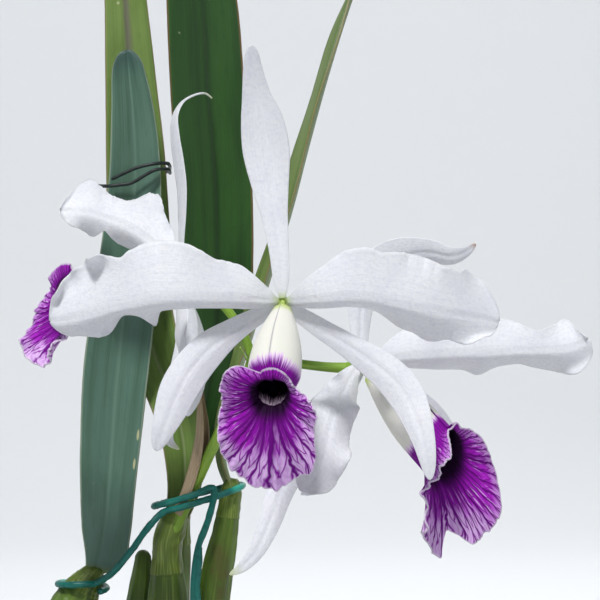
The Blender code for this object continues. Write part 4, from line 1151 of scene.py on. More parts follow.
@dataclass
class Lip:
    """The lip of a bloom: a tube rolled round the column that opens into a frilled lobe.

    axis is the tube's direction. Each reach lists how far the rim spreads from the mouth,
    in mm, and each flare how far it turns outwards, in degrees, from the front lobe in
    the middle to the hood on top: one list for each side.
    """

    axis: Vector
    first_reach: tuple[float, ...]
    second_reach: tuple[float, ...]
    first_flare: tuple[float, ...]
    second_flare: tuple[float, ...]
    frill: float = 1.6
    crisp: float = 0.8
    crisp_count: int = 36
    ridge: float = 0.55
    ridges: int = 17
    top_setback: float = 0.12
    neck_radius: float = 0.0094
    floor_radius: float = 0.0094
    top_dip: float = 0.0
    back_cut: float = 0.001
    advance: float = 0.0045
    drop: float = 0.0026
    tube_length: float = 0.044
    base_radius: float = 0.0031
    belly_radius: float = 0.0094
    neck_start: float = 0.8
    seam_lap: float = math.radians(7)
    lap_lift: float = 0.00036
    crowding: float = 0.4
    swell_end: float = 0.76
    quick_turn: float = 0.62
    quick_pace: float = 3.0
    frills: float = 4.5
    scallops: int = 80
    scallop_height: float = 0.0003
    tube_steps: int = 36
    lobe_steps: int = 46
    columns: int = 280

    def frame(self, heart: Vector, facing: Vector) -> tuple[Vector, Vector, Vector, Vector]:
        """Works out how the lip stands.

        Args:
            heart: The bloom's heart, in metres.
            facing: The way that the bloom looks.

        Returns:
            The lip's start, its axis, the way its front lobe hangs and the way to its second side.
        """
        axis = self.axis.normalized()
        hang = (-UP + UP.dot(axis) * axis).normalized()
        return heart + facing * self.advance - UP * self.drop, axis, hang, axis.cross(hang)

    def tube_radius(self, share: float, turn: float) -> float:
        """The radius of the tube at a share along it, a turn from its floor at 0 to its top at 1."""
        swell = math.sin(0.5 * math.pi * min(1.0, share / self.swell_end))
        neck = self.floor_radius + (self.neck_radius - self.floor_radius) * eased(0.0, 0.4, turn)
        neck -= self.top_dip * eased(0.6, 1.0, turn)
        radius = self.base_radius + (self.belly_radius - self.base_radius) * swell
        return radius - (self.belly_radius - neck) * eased(self.neck_start, 1.0, share)

    def lift(self, opened: float, angle: float, reach: float, side: float, seed: float) -> float:
        """How far a point stands off the plain lobe: its frills, its crisp edge and the lap.

        Args:
            opened: The share of the way from the mouth to the rim.
            angle: The angle round the tube.
            reach: The distance from the mouth to the rim, in metres.
            side: The place across the sheet, from -1 to 1.
            seed: A number of the lip's own.

        Returns:
            The height, in metres.
        """
        x, y = math.cos(angle), math.sin(angle)
        crisp = self.crisp * eased(0.72, 1.0, opened) * min(1.0, reach / 0.006)
        height = self.frill * opened**2 * math.sin(2 * self.frills * angle)
        strength = 0.55 + 1.6 * abs(wander(5 * x, 5 * y, seed + 4))
        height += crisp * strength * math.sin(self.crisp_count * angle + 7 * wander(3 * x, 3 * y, seed))
        height += 0.7 * crisp * wander(22 * x, 22 * y, seed + opened * 3)
        height += 0.2 * opened * math.sin(42 * angle + 2 * wander(3 * x, 3 * y, seed))
        folded = math.sin(self.ridges * angle + 3 * wander(2 * x, 2 * y, seed))
        height += self.ridge * min(1.0, reach / 0.02) * math.sin(math.pi * opened) * folded
        height *= 1 - 0.75 * eased(0.3, 0.8, -x)
        return height * MM + math.copysign(self.lap_lift * eased(0.9, 1.0, abs(side)), side)

    def sheet(self, heart: Vector, facing: Vector) -> BMesh:
        """The lip's middle surface, whose long edges lap along the top of its tube."""
        start, axis, hang, second_side = self.frame(heart, facing)
        steps = self.tube_steps + self.lobe_steps
        seed = heart.x * 90
        rims = []

        def place(share: float, side: float) -> Vector:
            """One point of the lip."""
            step = round(share * steps)
            spread = (math.pi + self.seam_lap) * side
            angle = spread * (1 - self.crowding + self.crowding * side * side)
            turn = min(1.0, abs(angle) / math.pi)
            x, y = math.cos(angle), math.sin(angle)
            reach = smooth_value(self.second_reach if side > 0 else self.first_reach, turn) * MM
            flare = smooth_value(self.second_flare if side > 0 else self.first_flare, turn)
            reach *= 1 + 0.04 * wander(3 * x, 3 * y, seed) + 0.03 * wander(11 * x, 11 * y, seed)
            reach += self.scallop_height * abs(math.sin(0.5 * self.scallops * angle))
            tube_share = min(1.0, step / self.tube_steps)
            radius = self.tube_radius(tube_share, turn)
            along = self.tube_length * tube_share * (1 - self.top_setback * turn)
            along += self.back_cut * turn * (1 - tube_share)
            bent = 0.0
            part_length = reach / self.lobe_steps
            for part in range(self.tube_steps, step):
                opened = (part - self.tube_steps + 0.5) / self.lobe_steps
                quick = self.quick_turn * min(1.0, opened * self.quick_pace)
                bent = math.radians(flare) * (quick + (1 - self.quick_turn) * opened)
                along += part_length * math.cos(bent)
                radius += part_length * math.sin(bent)
            opened = max(0, step - self.tube_steps) / self.lobe_steps
            rims.append((1 - opened) * reach + (1 - tube_share) * self.tube_length)
            lift = self.lift(opened, angle, reach, side, seed)
            found = start + axis * (along - lift * math.sin(bent))
            return found + (x * hang + y * second_side) * (radius + lift * math.cos(bent))

        bm = laid_sheet(steps, self.columns, place)
        layer = bm.verts.layers.float.new(RIM_LAYER)
        for vertex, rim in zip(bm.verts, rims):
            vertex[layer] = rim / CM
        return bm


@dataclass
class Column:
    """The column in the lip's tube, with its anther cap."""

    start: float = 0.0028
    sides: int = 28
    steps: int = 48

    def tube(self, lip: Lip, heart: Vector, facing: Vector) -> BMesh:
        """The column's closed skin, with the cap over its end."""
        foot, axis, hang, _ = lip.frame(heart, facing)
        root = heart + facing * self.start
        waist = foot + axis * 0.008 - hang * 0.0004
        places = [
            (root, 1.3),
            (root.lerp(waist, 0.5), 1.2),
            (waist, 1.9),
            (foot + axis * 0.016 - hang * 0.0022, 2.6),
            (foot + axis * 0.023 - hang * 0.0034, 3.1),
            (foot + axis * 0.027 - hang * 0.0034, 2.6),
        ]
        rows = [(*(place / MM), radius) for place, radius in places]
        skin = Stalk(
            rows, self.sides, self.steps, facing.cross(UP), ridges=3, relief=0.06, blunt=0.12,
            rings=(0.93,), ring_height=-0.10, ring_spread=0.02,
        )
        return skin.tube()


@dataclass
class Bloom:
    """One flower: its heart in mm, the way that it looks, its tepals and its lip."""

    name: str
    heart: Triple
    facing: Vector
    sepals: list[Blade]
    petals: list[Blade]
    lip: Lip
    column: Column = field(default_factory=Column)
    tips: dict[str, TepalFinish] = field(default_factory=dict)

    def seated_rows(self, blade: Blade, whorl: Whorl) -> list[Row]:
        """A tepal's rows in the frame of the plant, with a first row next to the heart."""
        heart = Vector(self.heart)
        first = Vector(blade.rows[0][:3])
        outwards = (first - first.dot(self.facing) * self.facing).normalized()
        seat = heart + self.facing * whorl.value + outwards * TEPAL_START
        rows = [(*seat, TEPAL_FOOT_HALF_WIDTH, TEPAL_FOOT_HALF_WIDTH)]
        for x, y, z, first_width, second_width in blade.rows:
            place = heart + Vector((x, y, z)) + self.facing * whorl.value
            rows.append((*place, first_width, second_width))
        return rows

    def build(self, finishes: Finishes) -> None:
        """Makes every piece of the bloom.

        Args:
            finishes: The materials, by finish.
        """
        for whorl, blades in ((Whorl.SEPALS, self.sepals), (Whorl.PETALS, self.petals)):
            for blade in blades:
                node = f"{self.name}_bloom_{blade.name}"
                finish = self.tips.get(blade.name, WHITE)
                piece = stand_in(node, Slot.TEPAL, TEPAL_THICKNESS)
                piece.make(blade.sheet(self.seated_rows(blade, whorl)), finishes[finish])
        heart = Vector(self.heart) * MM
        node = f"{self.name}_bloom_lip"
        lip = stand_in(node, Slot.LIP, LIP_THICKNESS)
        sheet = self.lip.sheet(heart, self.facing)
        lip.make(sheet, finishes[PURPLE_FACE], finishes[PURPLE_BACK])
        node = f"{self.name}_bloom_column"
        column = stand_in(node, Slot.COLUMN)
        column.make(self.column.tube(self.lip, heart, self.facing), finishes[COLUMN_SKIN])


RHIZOME_RUN = [(-44, 9), (-34, 6), (-24, 10), (-14, 13), (-6, 9), (2, 4), (9, 0), (16, -2), (25, -4)]
RHIZOME_BRANCH = [(-12, 12), (-6, 19), (0, 24), (7, 27)]
ROOTS = [
    ((-34, 6), math.radians(160), 5),
    ((-34, 6), math.radians(205), -6),
    ((-14, 13), math.radians(125), 6),
    ((-14, 13), math.radians(235), 5),
    ((2, 4), math.radians(262), -7),
    ((14, -2), math.radians(300), 6),
    ((16, -2), math.radians(345), -5),
    ((0, 24), math.radians(70), 5),
    ((10, 0), math.radians(22), -7),
]

BULBS = {
    "pseudobulb_left": [
        (-34, 6, 110.5, 4.0), (-38, 6, 135, 6.0), (-42, 6.5, 165, 8.6), (-43, 7, 190, 10.4),
        (-41, 7, 208, 10.6), (-36.5, 7, 220, 8.4), (-31, 7, 229, 4.6),
    ],
    "pseudobulb_centre": [
        (2, 3, 110.5, 4.0), (1, 3, 135, 6.0), (0, 3.5, 165, 8.3), (0, 4, 190, 9.2),
        (1, 4, 213, 8.8), (1, 4, 230, 6.6), (0, 4, 242, 4.8),
    ],
    "pseudobulb_right": [
        (15, -2, 110.5, 4.0), (16, -2.5, 140, 5.4), (18, -3, 172, 6.3), (19, -2.5, 202, 6.6),
        (22, -1, 228, 6.5), (26, 0, 250, 5.0), (28, 1, 265, 3.9),
    ],
    "pseudobulb_rear": [
        (0, 24, 110.5, 4.0), (0, 25, 140, 5.6), (0, 25.5, 170, 7.2), (1, 25.5, 200, 7.5),
        (3, 24, 230, 6.4), (5, 22, 257, 4.2),
    ],
    "pseudobulb_old": [
        (-14, 14, 110.5, 3.8), (-16, 15, 140, 5.2), (-16, 15.5, 170, 6.0), (-14, 16, 200, 5.9),
        (-11, 16, 222, 5.0), (-10, 16, 238, 2.6),
    ],
}

CENTRE_NECK = [
    (1, 4, 229, 7.0), (0.8, 3.8, 236, 6.4), (1.2, 3.0, 243, 6.2), (3.0, 2.0, 250, 5.9),
    (5.4, 1.4, 256, 4.6), (7.4, 1.2, 260, 2.0),
]
DRY_SHEATH_SPAN = {
    "pseudobulb_left": (0.14, 0.56),
    "pseudobulb_centre": (0.14, 0.50),
    "pseudobulb_right": (0.12, 0.46),
    "pseudobulb_rear": (0.15, 0.52),
}

LEAVES = [
    Blade(
        "leaf_left",
        [
            (-30, 7, 230, 4), (-28.5, 7.5, 236, 5.8, 13.2), (-26.2, 8.2, 247, 10, 13),
            (-24.6, 9, 262, 12.2, 12.8), (-23, 10, 285, 14, 13.5),
            (-21, 10.5, 311, 15, 14.5), (-17.5, 10.5, 341, 14.5, 14), (-14.5, 10, 371, 13),
            (-13, 10, 400, 11.2, 11.5), (-14, 10, 424, 9.4, 9.6), (-15.5, 9.5, 440, 7.6, 7.4),
            (-16.5, 9, 451, 5),
        ],
        tip_start=0.93,
    ),
    Blade(
        "leaf_centre",
        [
            (0, 4, 243.6, 4), (5, 5, 254, 5.5), (8, 8, 268, 8), (7, 12, 286, 10, 9.5),
            (2, 17, 304, 11.5, 10.5), (-5, 22, 320, 13, 12), (-11, 27, 342, 14, 13),
            (-13, 32, 372, 14.5, 14), (-15, 35, 405, 13.5), (-17, 37, 435, 11.8, 12),
            (-19, 38, 467, 10), (-21, 38, 496, 8), (-22, 37, 518, 4.5),
        ],
    ),
    Blade(
        "leaf_rear",
        [
            (5, 22, 258, 4), (8, 24, 269, 6.5), (13, 27, 286, 10.5),
            (18, 29, 309, 14.5, 13.5), (21, 30, 338, 16.5, 16), (21, 30, 368, 17.5, 17),
            (20, 30, 400, 17.5, 17), (17, 31, 434, 17), (15, 33, 466, 16.5),
            (12, 35, 500, 14), (9.5, 38, 524, 10), (9, 39, 535.6, 5),
        ],
        tip_start=0.90,
    ),
    Blade(
        "leaf_right",
        [
            (28, 1, 266.6, 3.8), (24.6, 3, 277, 5.5), (25, 5, 291, 7.5),
            (29.6, 4.5, 310, 9), (36, 3.5, 330, 10.5), (44.4, 3, 357, 11),
            (52.4, 3, 382, 11), (59.4, 5, 409, 10), (66.4, 8, 435, 9),
            (73.8, 12, 460, 7), (81.6, 17, 484, 3),
        ],
        face=Vector((-0.97, -0.24, 0.0)),
    ),
]

FLOWER_SHEATH = [
    (7.4, -2.0, 255.5, 3.7), (11.2, -3.7, 264, 3.9), (14.2, -5.6, 273, 4.0), (16.4, -7.4, 283, 3.7),
    (16.9, -8.6, 294, 2.8), (15.8, -9.2, 308, 1.3),
]
FLOWER_SHEATH_SIDE = Vector((-0.85, 0.30, 0.0))
FLOWER_SHEATH_OPENING = math.radians(112)

PEDUNCLE = [
    (3.5, -0.8, 247, 2.6), (9, -2.6, 259, 2.6), (14.6, -5.8, 271, 2.5), (20.8, -10.6, 284, 2.4),
    (27.6, -18, 297.5, 2.4), (33.6, -27, 310, 2.4), (38.6, -38, 322, 2.3), (43.4, -52, 332, 2.2),
    (47.6, -68, 339.5, 2.2),
]
PEDICEL_RIGHT = [
    (37.5, -35.5, 319.5, 1.9), (46, -38.5, 320.5, 1.9), (57, -39.5, 319.4, 1.9),
    (67, -38.5, 318.2, 2.0), (74.5, -38, 317.8, 2.2),
]
PEDICEL_LEFT = [
    (38, -36.5, 320.5, 1.8), (34.5, -37, 331, 1.8), (27.5, -37.4, 341.5, 1.9),
    (20, -37.6, 349.5, 2.1),
]


@dataclass
class Loop:
    """Turns of a tie round a stem: the middle, radii and height in mm, and the angles in degrees."""

    middle: tuple
    radii: tuple
    heights: tuple
    angles: tuple
    points: int

    def rows(self, radius: float) -> list[Row]:
        """The rows of the turns."""
        found = []
        for i in range(self.points):
            share = i / (self.points - 1)
            angle = math.radians(self.angles[0] + (self.angles[1] - self.angles[0]) * share)
            height = self.heights[0] + (self.heights[1] - self.heights[0]) * share
            x = self.middle[0] + self.radii[0] * math.cos(angle)
            y = self.middle[1] + self.radii[1] * math.sin(angle)
            found.append((x, y, height, radius))
        return found


TEAL_LOOPS = [
    Loop((19.5, -2.4), (8.8, 8.8), (205.5, 209.5), (-500, -150), 12),
    Loop((14.2, 1.5), (18.6, 11.2), (264.6, 260.4), (-68, -500), 16),
    Loop((-35.2, 7), (10.2, 10.2), (226.4, 222.4), (-45, -400), 12),
]
TEAL_LOOP_SLOPES = [0.0, 0.28, 0.0]
TEAL_RUNS = [
    [(13, -11.5, 215), (13, -12.6, 228), (15, -12.6, 243), (19, -12, 254)],
    [(-6.5, -8.2, 250), (-13, -9, 241), (-20.5, -6.8, 232)],
]
BLACK_TURNS = [
    (-22.5, 2.4, 395.8), (-12.5, 2.0, 400.4), (-4.2, 2.2, 402.4), (0.6, 5.6, 402.8),
    (1.0, 14, 402.8), (0.8, 24, 402.4), (-0.6, 34, 401.4), (-6, 41, 399.8), (-15, 43, 397.6),
    (-25, 41.2, 395.6), (-30.6, 34.4, 394.8), (-30.4, 23, 394.2), (-28, 11, 393.6), (-24.8, 3.6, 393.0),
    (-19.5, 2.2, 393.4), (-13.7, 1.9, 394.4), (-7.6, 2.0, 398.0), (-3.6, 2.2, 399.9),
    (0.6, 5.6, 400.4), (1.2, 14, 400.2), (1.0, 22, 399.6),
]
TEAL_END = [(15, -12.8, 243), (15.2, -13.2, 236), (14.4, -13, 228), (14.8, -12.6, 219)]

BLOOM_FRONT = Bloom(
    "front",
    (50.5, -88, 344),
    FRONT,
    sepals=[
        Blade(
            "dorsal_sepal",
            [
                (-0.6, 1.2, 9, 3.0), (-1.6, 3.2, 21, 3.9), (-3.3, 5.5, 34, 5.2),
                (-5.0, 7.0, 46, 7.4), (-6.2, 7.4, 57.5, 9.2, 9.0), (-7.8, 6.4, 69, 8.4, 8.2),
                (-9.8, 4.8, 79, 5.8, 5.2), (-11.2, 2.2, 89, 3.8, 3.4), (-11.7, 0, 97, 2.2, 2.0),
            ],
            first_side=LEFT,
            jag=0.012,
            tip_start=0.92,
        ),
        Blade(
            "left_lateral_sepal",
            [
                (-6.4, 1.6, -3.6, 2.7), (-12.0, 2.6, -6.5, 3.7), (-19.3, 3.4, -11, 4.9),
                (-27.0, 3.4, -16.8, 6.6), (-33.6, 2.4, -24, 7.4), (-38.6, 0.4, -32, 7.5, 7.3),
                (-42, -1.6, -40.4, 6.3, 6.1), (-45.2, -2.6, -48.6, 4.1), (-47.6, -2, -55.6, 2),
            ],
            tip_start=0.92,
        ),
        Blade(
            "right_lateral_sepal",
            [
                (5.6, 1.6, -4.0, 2.8), (14.5, 2.6, -9.8, 3.8), (24, 2.6, -15.8, 4.6),
                (33.6, 1.2, -22.2, 6.0), (41.6, -1.2, -28.8, 7.0), (46.8, -4, -36, 6.9),
                (50, -7.6, -43.6, 5.8), (52.4, -10.4, -51.6, 4.4),
                (53.8, -12, -59, 3.1), (54.6, -12.4, -65.6, 1.6),
            ],
            tip_start=0.92,
        ),
    ],
    petals=[
        Blade(
            "left_petal",
            [
                (-7.9, -1.2, 1.0, 6.4, 4.5), (-16.2, -3, 1.6, 12.5, 10), (-25.2, -4, 1.7, 16.4, 14),
                (-34.6, -4, 1.6, 20.4, 16), (-44.2, -3, 1.2, 22.4, 17), (-53.8, -1, 0, 21, 15.4),
                (-63.4, 2, -2.2, 19.4, 13), (-73, 5, -4.5, 18.6, 12.5), (-81, 7.6, -6.2, 15.5, 9.5),
                (-88.6, 10, -7.4, 8, 6),
            ],
            first_bend=(6, 10, 12, 16, 26),
            second_bend=(60, 90, 98, 92, 57, 38),
            wave=1.6,
            wave_count=3.4,
            ruffle=0.3,
            jag=0.034,
            lobes=(
                Lobe(0.31, 0.06, True, wider=-1.6),
                Lobe(0.64, 0.022, True, wider=-1.8),
                Lobe(0.735, 0.045, True, wider=5.5, curl=-105),
                Lobe(0.84, 0.04, True, wider=1.5, curl=-60, crimp=0.6),
                Lobe(0.93, 0.04, True, wider=0.5, curl=-120, crimp=0.8),
                Lobe(0.605, 0.03, False, wider=4.2, bend=-18),
                Lobe(0.70, 0.045, False, wider=-4.5, bend=22),
                Lobe(0.79, 0.02, False, wider=-1.5, curl=-60),
                Lobe(0.88, 0.06, False, wider=-1.6),
            ),
            tip_start=0.9,
        ),
        Blade(
            "right_petal",
            [
                (7.5, -1.2, 1.0, 6.4, 4.5), (15.8, -3, 1.6, 12.5, 10), (25.2, -4, 2, 18.4, 14),
                (35.4, -4, 1.2, 19.4, 16), (45, -3, -0.8, 19.8, 16.4), (54.6, -1, -2.8, 18.8, 14.5),
                (64.2, 2, -4.4, 16.4, 12.5), (73.8, 6, -5.9, 15.2, 10.5), (82, 9.6, -7.6, 6.5),
            ],
            first_bend=(6, 10, 12, 16, 26),
            second_bend=(60, 90, 97, 68, 20, 16),
            wave=1.6,
            wave_count=3.1,
            ruffle=0.3,
            jag=0.034,
            lobes=(
                Lobe(0.44, 0.04, True, wider=-1.6),
                Lobe(0.7, 0.02, True, wider=-0.8),
                Lobe(0.82, 0.025, True, wider=1.6),
                Lobe(0.5, 0.06, False, wider=-2),
                Lobe(0.67, 0.05, False, wider=1.5, curl=40, crimp=1.8),
                Lobe(0.79, 0.04, False, wider=-2),
                Lobe(0.92, 0.05, False, wider=-1, curl=-130, crimp=0.6),
                Lobe(0.94, 0.04, True, curl=-70),
            ),
            tip_start=0.9,
        ),
    ],
    lip=Lip(
        Vector((-0.08, -0.763, -0.643)),
        first_reach=(33.4, 33, 31, 26, 20, 15, 13.5, 15, 15.2, 12.7, 4.6, 5.5, 6),
        second_reach=(33.4, 31, 29.5, 18, 15, 9.5, 4, 2.4, 2.8, 3.5, 4.8, 5.8, 6),
        first_flare=(80, 82, 84, 90, 96, 102, 104, 106, 110, 118, 118, 120, 122),
        second_flare=(80, 82, 84, 90, 96, 104, 108, 110, 114, 118, 120, 122, 122),
        top_setback=0.02,
        neck_radius=0.0058,
        floor_radius=0.0058,
        top_dip=0.0014,
        frill=1.0,
    ),
)

BLOOM_RIGHT = Bloom(
    "right",
    (82.5, -46, 318),
    Vector((0.6, -0.8, 0.0)),
    sepals=[
        Blade(
            "dorsal_sepal",
            [
                (-0.7, 2, 6.3, 2.8), (-1.1, 4.4, 16, 4.4), (-0.4, 6.4, 26, 6),
                (2.4, 8, 34.4, 7.4), (8.2, 8.6, 41, 8.2), (16.4, 7.4, 44.8, 7.6),
                (26, 4.6, 46, 5.6), (34.4, 2, 44.4, 4), (40.4, 0, 46, 2.4),
                (44.6, -1, 49.2, 1.4),
            ],
            face=Vector((0.45, -0.89, 0.0)),
            first_side=LEFT,
        ),
        Blade(
            "near_lateral_sepal",
            [
                (-3.8, -0.2, -5.2, 2.4), (-11.2, -3, -13.6, 3.9), (-19.8, -9.6, -24.8, 5),
                (-27.4, -16.8, -36.8, 5.6), (-33, -22.8, -47.8, 5.2),
                (-37, -27, -58.6, 4.5), (-41.6, -30, -68.4, 3.3), (-47, -32, -74.6, 2.2),
                (-52, -33, -77.6, 1.2),
            ],
        ),
        Blade(
            "far_lateral_sepal",
            [
                (4.4, 3.4, -3.0, 2.6), (11.4, 5.4, -7.4, 4.2), (18.8, 9, -12.8, 5.6),
                (25.8, 13.6, -18.8, 6.4), (31.8, 18, -25.6, 6), (36.6, 22, -33.8, 4.4),
                (39.6, 24, -41.8, 2),
            ],
        ),
    ],
    petals=[
        Blade(
            "near_petal",
            [
                (-4.4, -4.2, -0.4, 2.6), (-8.2, -9.4, -7, 6.6), (-11.8, -16.2, -14, 9.2),
                (-14.4, -23, -21, 10.6), (-16.2, -30, -28, 10.8),
                (-18.2, -36, -35, 9.8), (-21.6, -41, -41, 7.6), (-25.6, -44, -44.6, 4),
            ],
            first_side=LEFT,
            turn=(30, 34, 40),
            wave=3.0,
            wave_count=3.6,
            ruffle=0.8,
            ruffle_count=7,
            jag=0.05,
            lobes=(
                Lobe(0.4, 0.12, True, crimp=0.9),
                Lobe(0.75, 0.12, True, crimp=0.7),
                Lobe(0.6, 0.1, False, crimp=0.5),
            ),
        ),
        Blade(
            "far_petal",
            [
                (5.2, 3.2, 2.4, 3.2), (12.6, 5.2, 4.2, 8.4, 7), (22.8, 8, 5, 14, 12),
                (35, 12, 5.4, 17.4, 14.6), (47.4, 15, 5.8, 17.2, 15), (59.8, 17.6, 6.4, 13.8, 12.6),
                (70.2, 19, 6.8, 10.4, 10.8), (79.6, 19, 7.2, 11), (86.6, 18, 8.8, 8.6),
                (90.2, 16, 11.4, 4),
            ],
            first_bend=(8, 14, 18, 24),
            second_bend=(50, 84, 90, 84, 54, 40),
            wave=1.8,
            wave_count=3.2,
            ruffle=0.25,
            jag=0.03,
            lobes=(
                Lobe(0.7, 0.06, True, wider=-2),
                Lobe(0.86, 0.05, True, wider=3),
                Lobe(0.515, 0.035, False, wider=2.2, bend=-11),
                Lobe(0.63, 0.05, False, wider=-2.5),
                Lobe(0.86, 0.05, False, wider=2.5, curl=-90, crimp=0.5),
            ),
            tip_start=0.93,
        ),
    ],
    lip=Lip(
        Vector((0.60, -0.42, -0.68)),
        first_reach=(34.5, 33, 27, 27, 19, 17, 15, 13, 12, 9, 5, 4, 4),
        second_reach=(34.5, 25, 33, 34, 33, 30.5, 23.5, 17, 12, 7, 3.5, 4, 4),
        first_flare=(52, 52, 52, 52, 50, 46, 40, 29, 24, 38, 60, 82, 100),
        second_flare=(52, 48, 43, 38, 38, 48, 62, 78, 92, 100, 104, 103, 100),
        crisp=0.8,
        crisp_count=15,
    ),
    tips={"dorsal_sepal": WHITE_BROWN_TIP, "near_lateral_sepal": WHITE_GREEN_TIP},
)

BLOOM_LEFT = Bloom(
    "left",
    (8.5, -42, 354.5),
    Vector((-0.93, -0.37, 0.0)),
    sepals=[
        Blade(
            "dorsal_sepal",
            [
                (0.2, 2.4, 6, 2.6), (0, 4.4, 15, 4.6), (-0.2, 7, 25, 6.4),
                (-0.8, 9.6, 35, 7.6), (-2.2, 11.6, 45, 7.8), (-3.6, 13, 55, 7),
                (-3.8, 14.4, 64, 5.6), (-0.8, 16, 70.6, 4.4), (4.2, 17, 74, 3.2),
                (9.2, 17, 75, 2.2), (12.4, 17, 73, 1.2),
            ],
            face=Vector((-0.95, -0.31, 0.0)),
            first_side=FRONT,
        ),
        Blade(
            "near_lateral_sepal",
            [
                (0.2, -0.6, -6.8, 2.2), (3.0, 0.2, -16, 3.8), (2.6, 1, -28, 4.6),
                (0, 1, -40, 4.6), (-2.8, 0.4, -50, 3.8), (-4.6, -1.4, -59, 2.6),
                (-3.8, -4, -65.4, 1.8), (0.2, -6, -68.4, 1.0),
            ],
            first_side=LEFT,
        ),
        Blade(
            "far_lateral_sepal",
            [
                (0.0, 4.9, -6.5, 2.2), (3, 10.4, -16.8, 4.2), (5, 15, -28, 5.2),
                (5.2, 17, -38, 5.2), (4, 18, -48, 4), (2, 18, -57, 1.8),
            ],
            first_side=LEFT,
        ),
    ],
    petals=[
        Blade(
            "near_petal",
            [
                (0.3, -5.6, -6.3, 3.2), (1.8, -13, -15.5, 7.4), (2.8, -19, -25.4, 10.4),
                (2.8, -23, -35, 11.4), (1.6, -25, -44.4, 9.8), (0.2, -26, -53, 6.6),
                (-0.6, -26, -59.4, 3),
            ],
            face=Vector((-0.97, -0.25, 0.0)),
            first_side=FRONT,
            wave=1.6,
            wave_count=2.6,
            jag=0.02,
            groove=0.1,
        ),
        Blade(
            "far_petal",
            [
                (-4.2, 3.2, 8, 4.4, 3.6), (-10.6, 6.6, 14.4, 13.5, 7), (-18.6, 11, 19.2, 18, 10),
                (-26.8, 15, 23, 11, 9.6), (-34.6, 18, 25.6, 12.4, 9.4), (-41.4, 20, 26.8, 14.5, 8),
                (-48.4, 21, 27, 4.5, 4),
            ],
            first_bend=(6, 10, 14, 20),
            second_bend=(40, 64, 66, 48, 24),
            wave=2.0,
            wave_count=3.2,
            ruffle=0.3,
            jag=0.07,
            lobes=(
                Lobe(0.85, 0.05, True, wider=2.4),
                Lobe(0.68, 0.05, True, wider=-1.2),
                Lobe(0.5, 0.04, True, wider=2.2, crimp=1.0),
                Lobe(0.3, 0.07, True, wider=-3.2),
                Lobe(0.94, 0.04, True, wider=-1, curl=-60),
                Lobe(0.8, 0.06, False, wider=-1.2),
                Lobe(0.6, 0.05, False, wider=-3),
                Lobe(0.4, 0.08, False, wider=-1.5),
            ),
            tip_start=0.88,
        ),
    ],
    lip=Lip(
        Vector((-0.86, -0.46, -0.20)),
        first_reach=(20, 20.5, 19, 12, 11, 9, 7),
        second_reach=(20, 15.5, 7, 2, 2, 3, 7),
        first_flare=(50, 32, 50, 80, 110, 112, 110),
        second_flare=(50, 47, 36, 40, 60, 96, 110),
    ),
    tips={"dorsal_sepal": WHITE_GREEN_TIP, "near_lateral_sepal": WHITE_GREEN_TIP},
)


BLOOMS = (BLOOM_FRONT, BLOOM_RIGHT, BLOOM_LEFT)
FINISHES = (
    WHITE, WHITE_BROWN_TIP, WHITE_GREEN_TIP, PURPLE_FACE, PURPLE_BACK,
    LEAF_BLUE, LEAF_PALE, LEAF_DEEP, LEAF_SLIM,
    BULB_SKIN, NECK_SKIN, STEM_SKIN, COLUMN_SKIN,
    PAPER, ROOT_COAT, BARK, CLAY, TEAL, BLACK,
)


LEAF_THICKNESS = 0.0018
KEEL = (-38, -30, -24, -20)
SLIM_KEEL = (-30, -24, -20, -16)


@dataclass(frozen=True)
class LeafKind:
    """What sets one leaf apart from the others: its keel, its finish and its slot."""

    keel: tuple[float, ...]
    finish: LeafFinish
    slot: Slot


@dataclass
class Leaves:
    """The strap leaves, each folded forwards along its midrib and thickest there."""

    kinds: dict[str, LeafKind] = field(
        default_factory=lambda: {
            "leaf_left": LeafKind(KEEL, LEAF_BLUE, Slot.LEAF_BLUE),
            "leaf_centre": LeafKind(KEEL, LEAF_PALE, Slot.LEAF_PALE),
            "leaf_rear": LeafKind(KEEL, LEAF_DEEP, Slot.LEAF_DEEP),
            "leaf_right": LeafKind(SLIM_KEEL, LEAF_SLIM, Slot.LEAF_PALE),
        }
    )
    wave: float = 0.5
    wave_count: float = 4.3
    jag: float = 0.012
    groove: float = 0.5
    edge_share: float = 0.35
    steps: int = 150
    columns: int = 30

    def build(self, finishes: Finishes) -> None:
        """Makes the leaves."""
        for leaf in LEAVES:
            kind = self.kinds[leaf.name]
            leaf.first_side = LEFT if leaf.face == FRONT else FRONT
            leaf.first_bend = leaf.second_bend = kind.keel
            leaf.wave, leaf.wave_count, leaf.jag = self.wave, self.wave_count, self.jag
            leaf.groove, leaf.edge_share = self.groove, self.edge_share
            leaf.steps, leaf.columns = self.steps, self.columns
            piece = stand_in(leaf.name, kind.slot, LEAF_THICKNESS)
            piece.make(leaf.sheet(leaf.rows), finishes[kind.finish])


@dataclass
class Pseudobulbs:
    """The ridged pseudobulbs, with a ring at each old joint."""

    ridges: int = 6
    relief: float = 0.05
    uneven: float = 0.05
    rings: tuple[float, ...] = (0.16, 0.42, 0.95)
    sides: int = 48
    steps: int = 110

    def build(self, finishes: Finishes) -> None:
        """Makes the pseudobulbs."""
        for name, rows in BULBS.items():
            skin = Stalk(
                rows, self.sides, self.steps, FRONT, self.ridges, self.relief, self.uneven,
                blunt=0.05, rings=self.rings, ring_height=0.05,
            )
            stand_in(name, Slot.BULB).make(skin.tube(), finishes[BULB_SKIN])


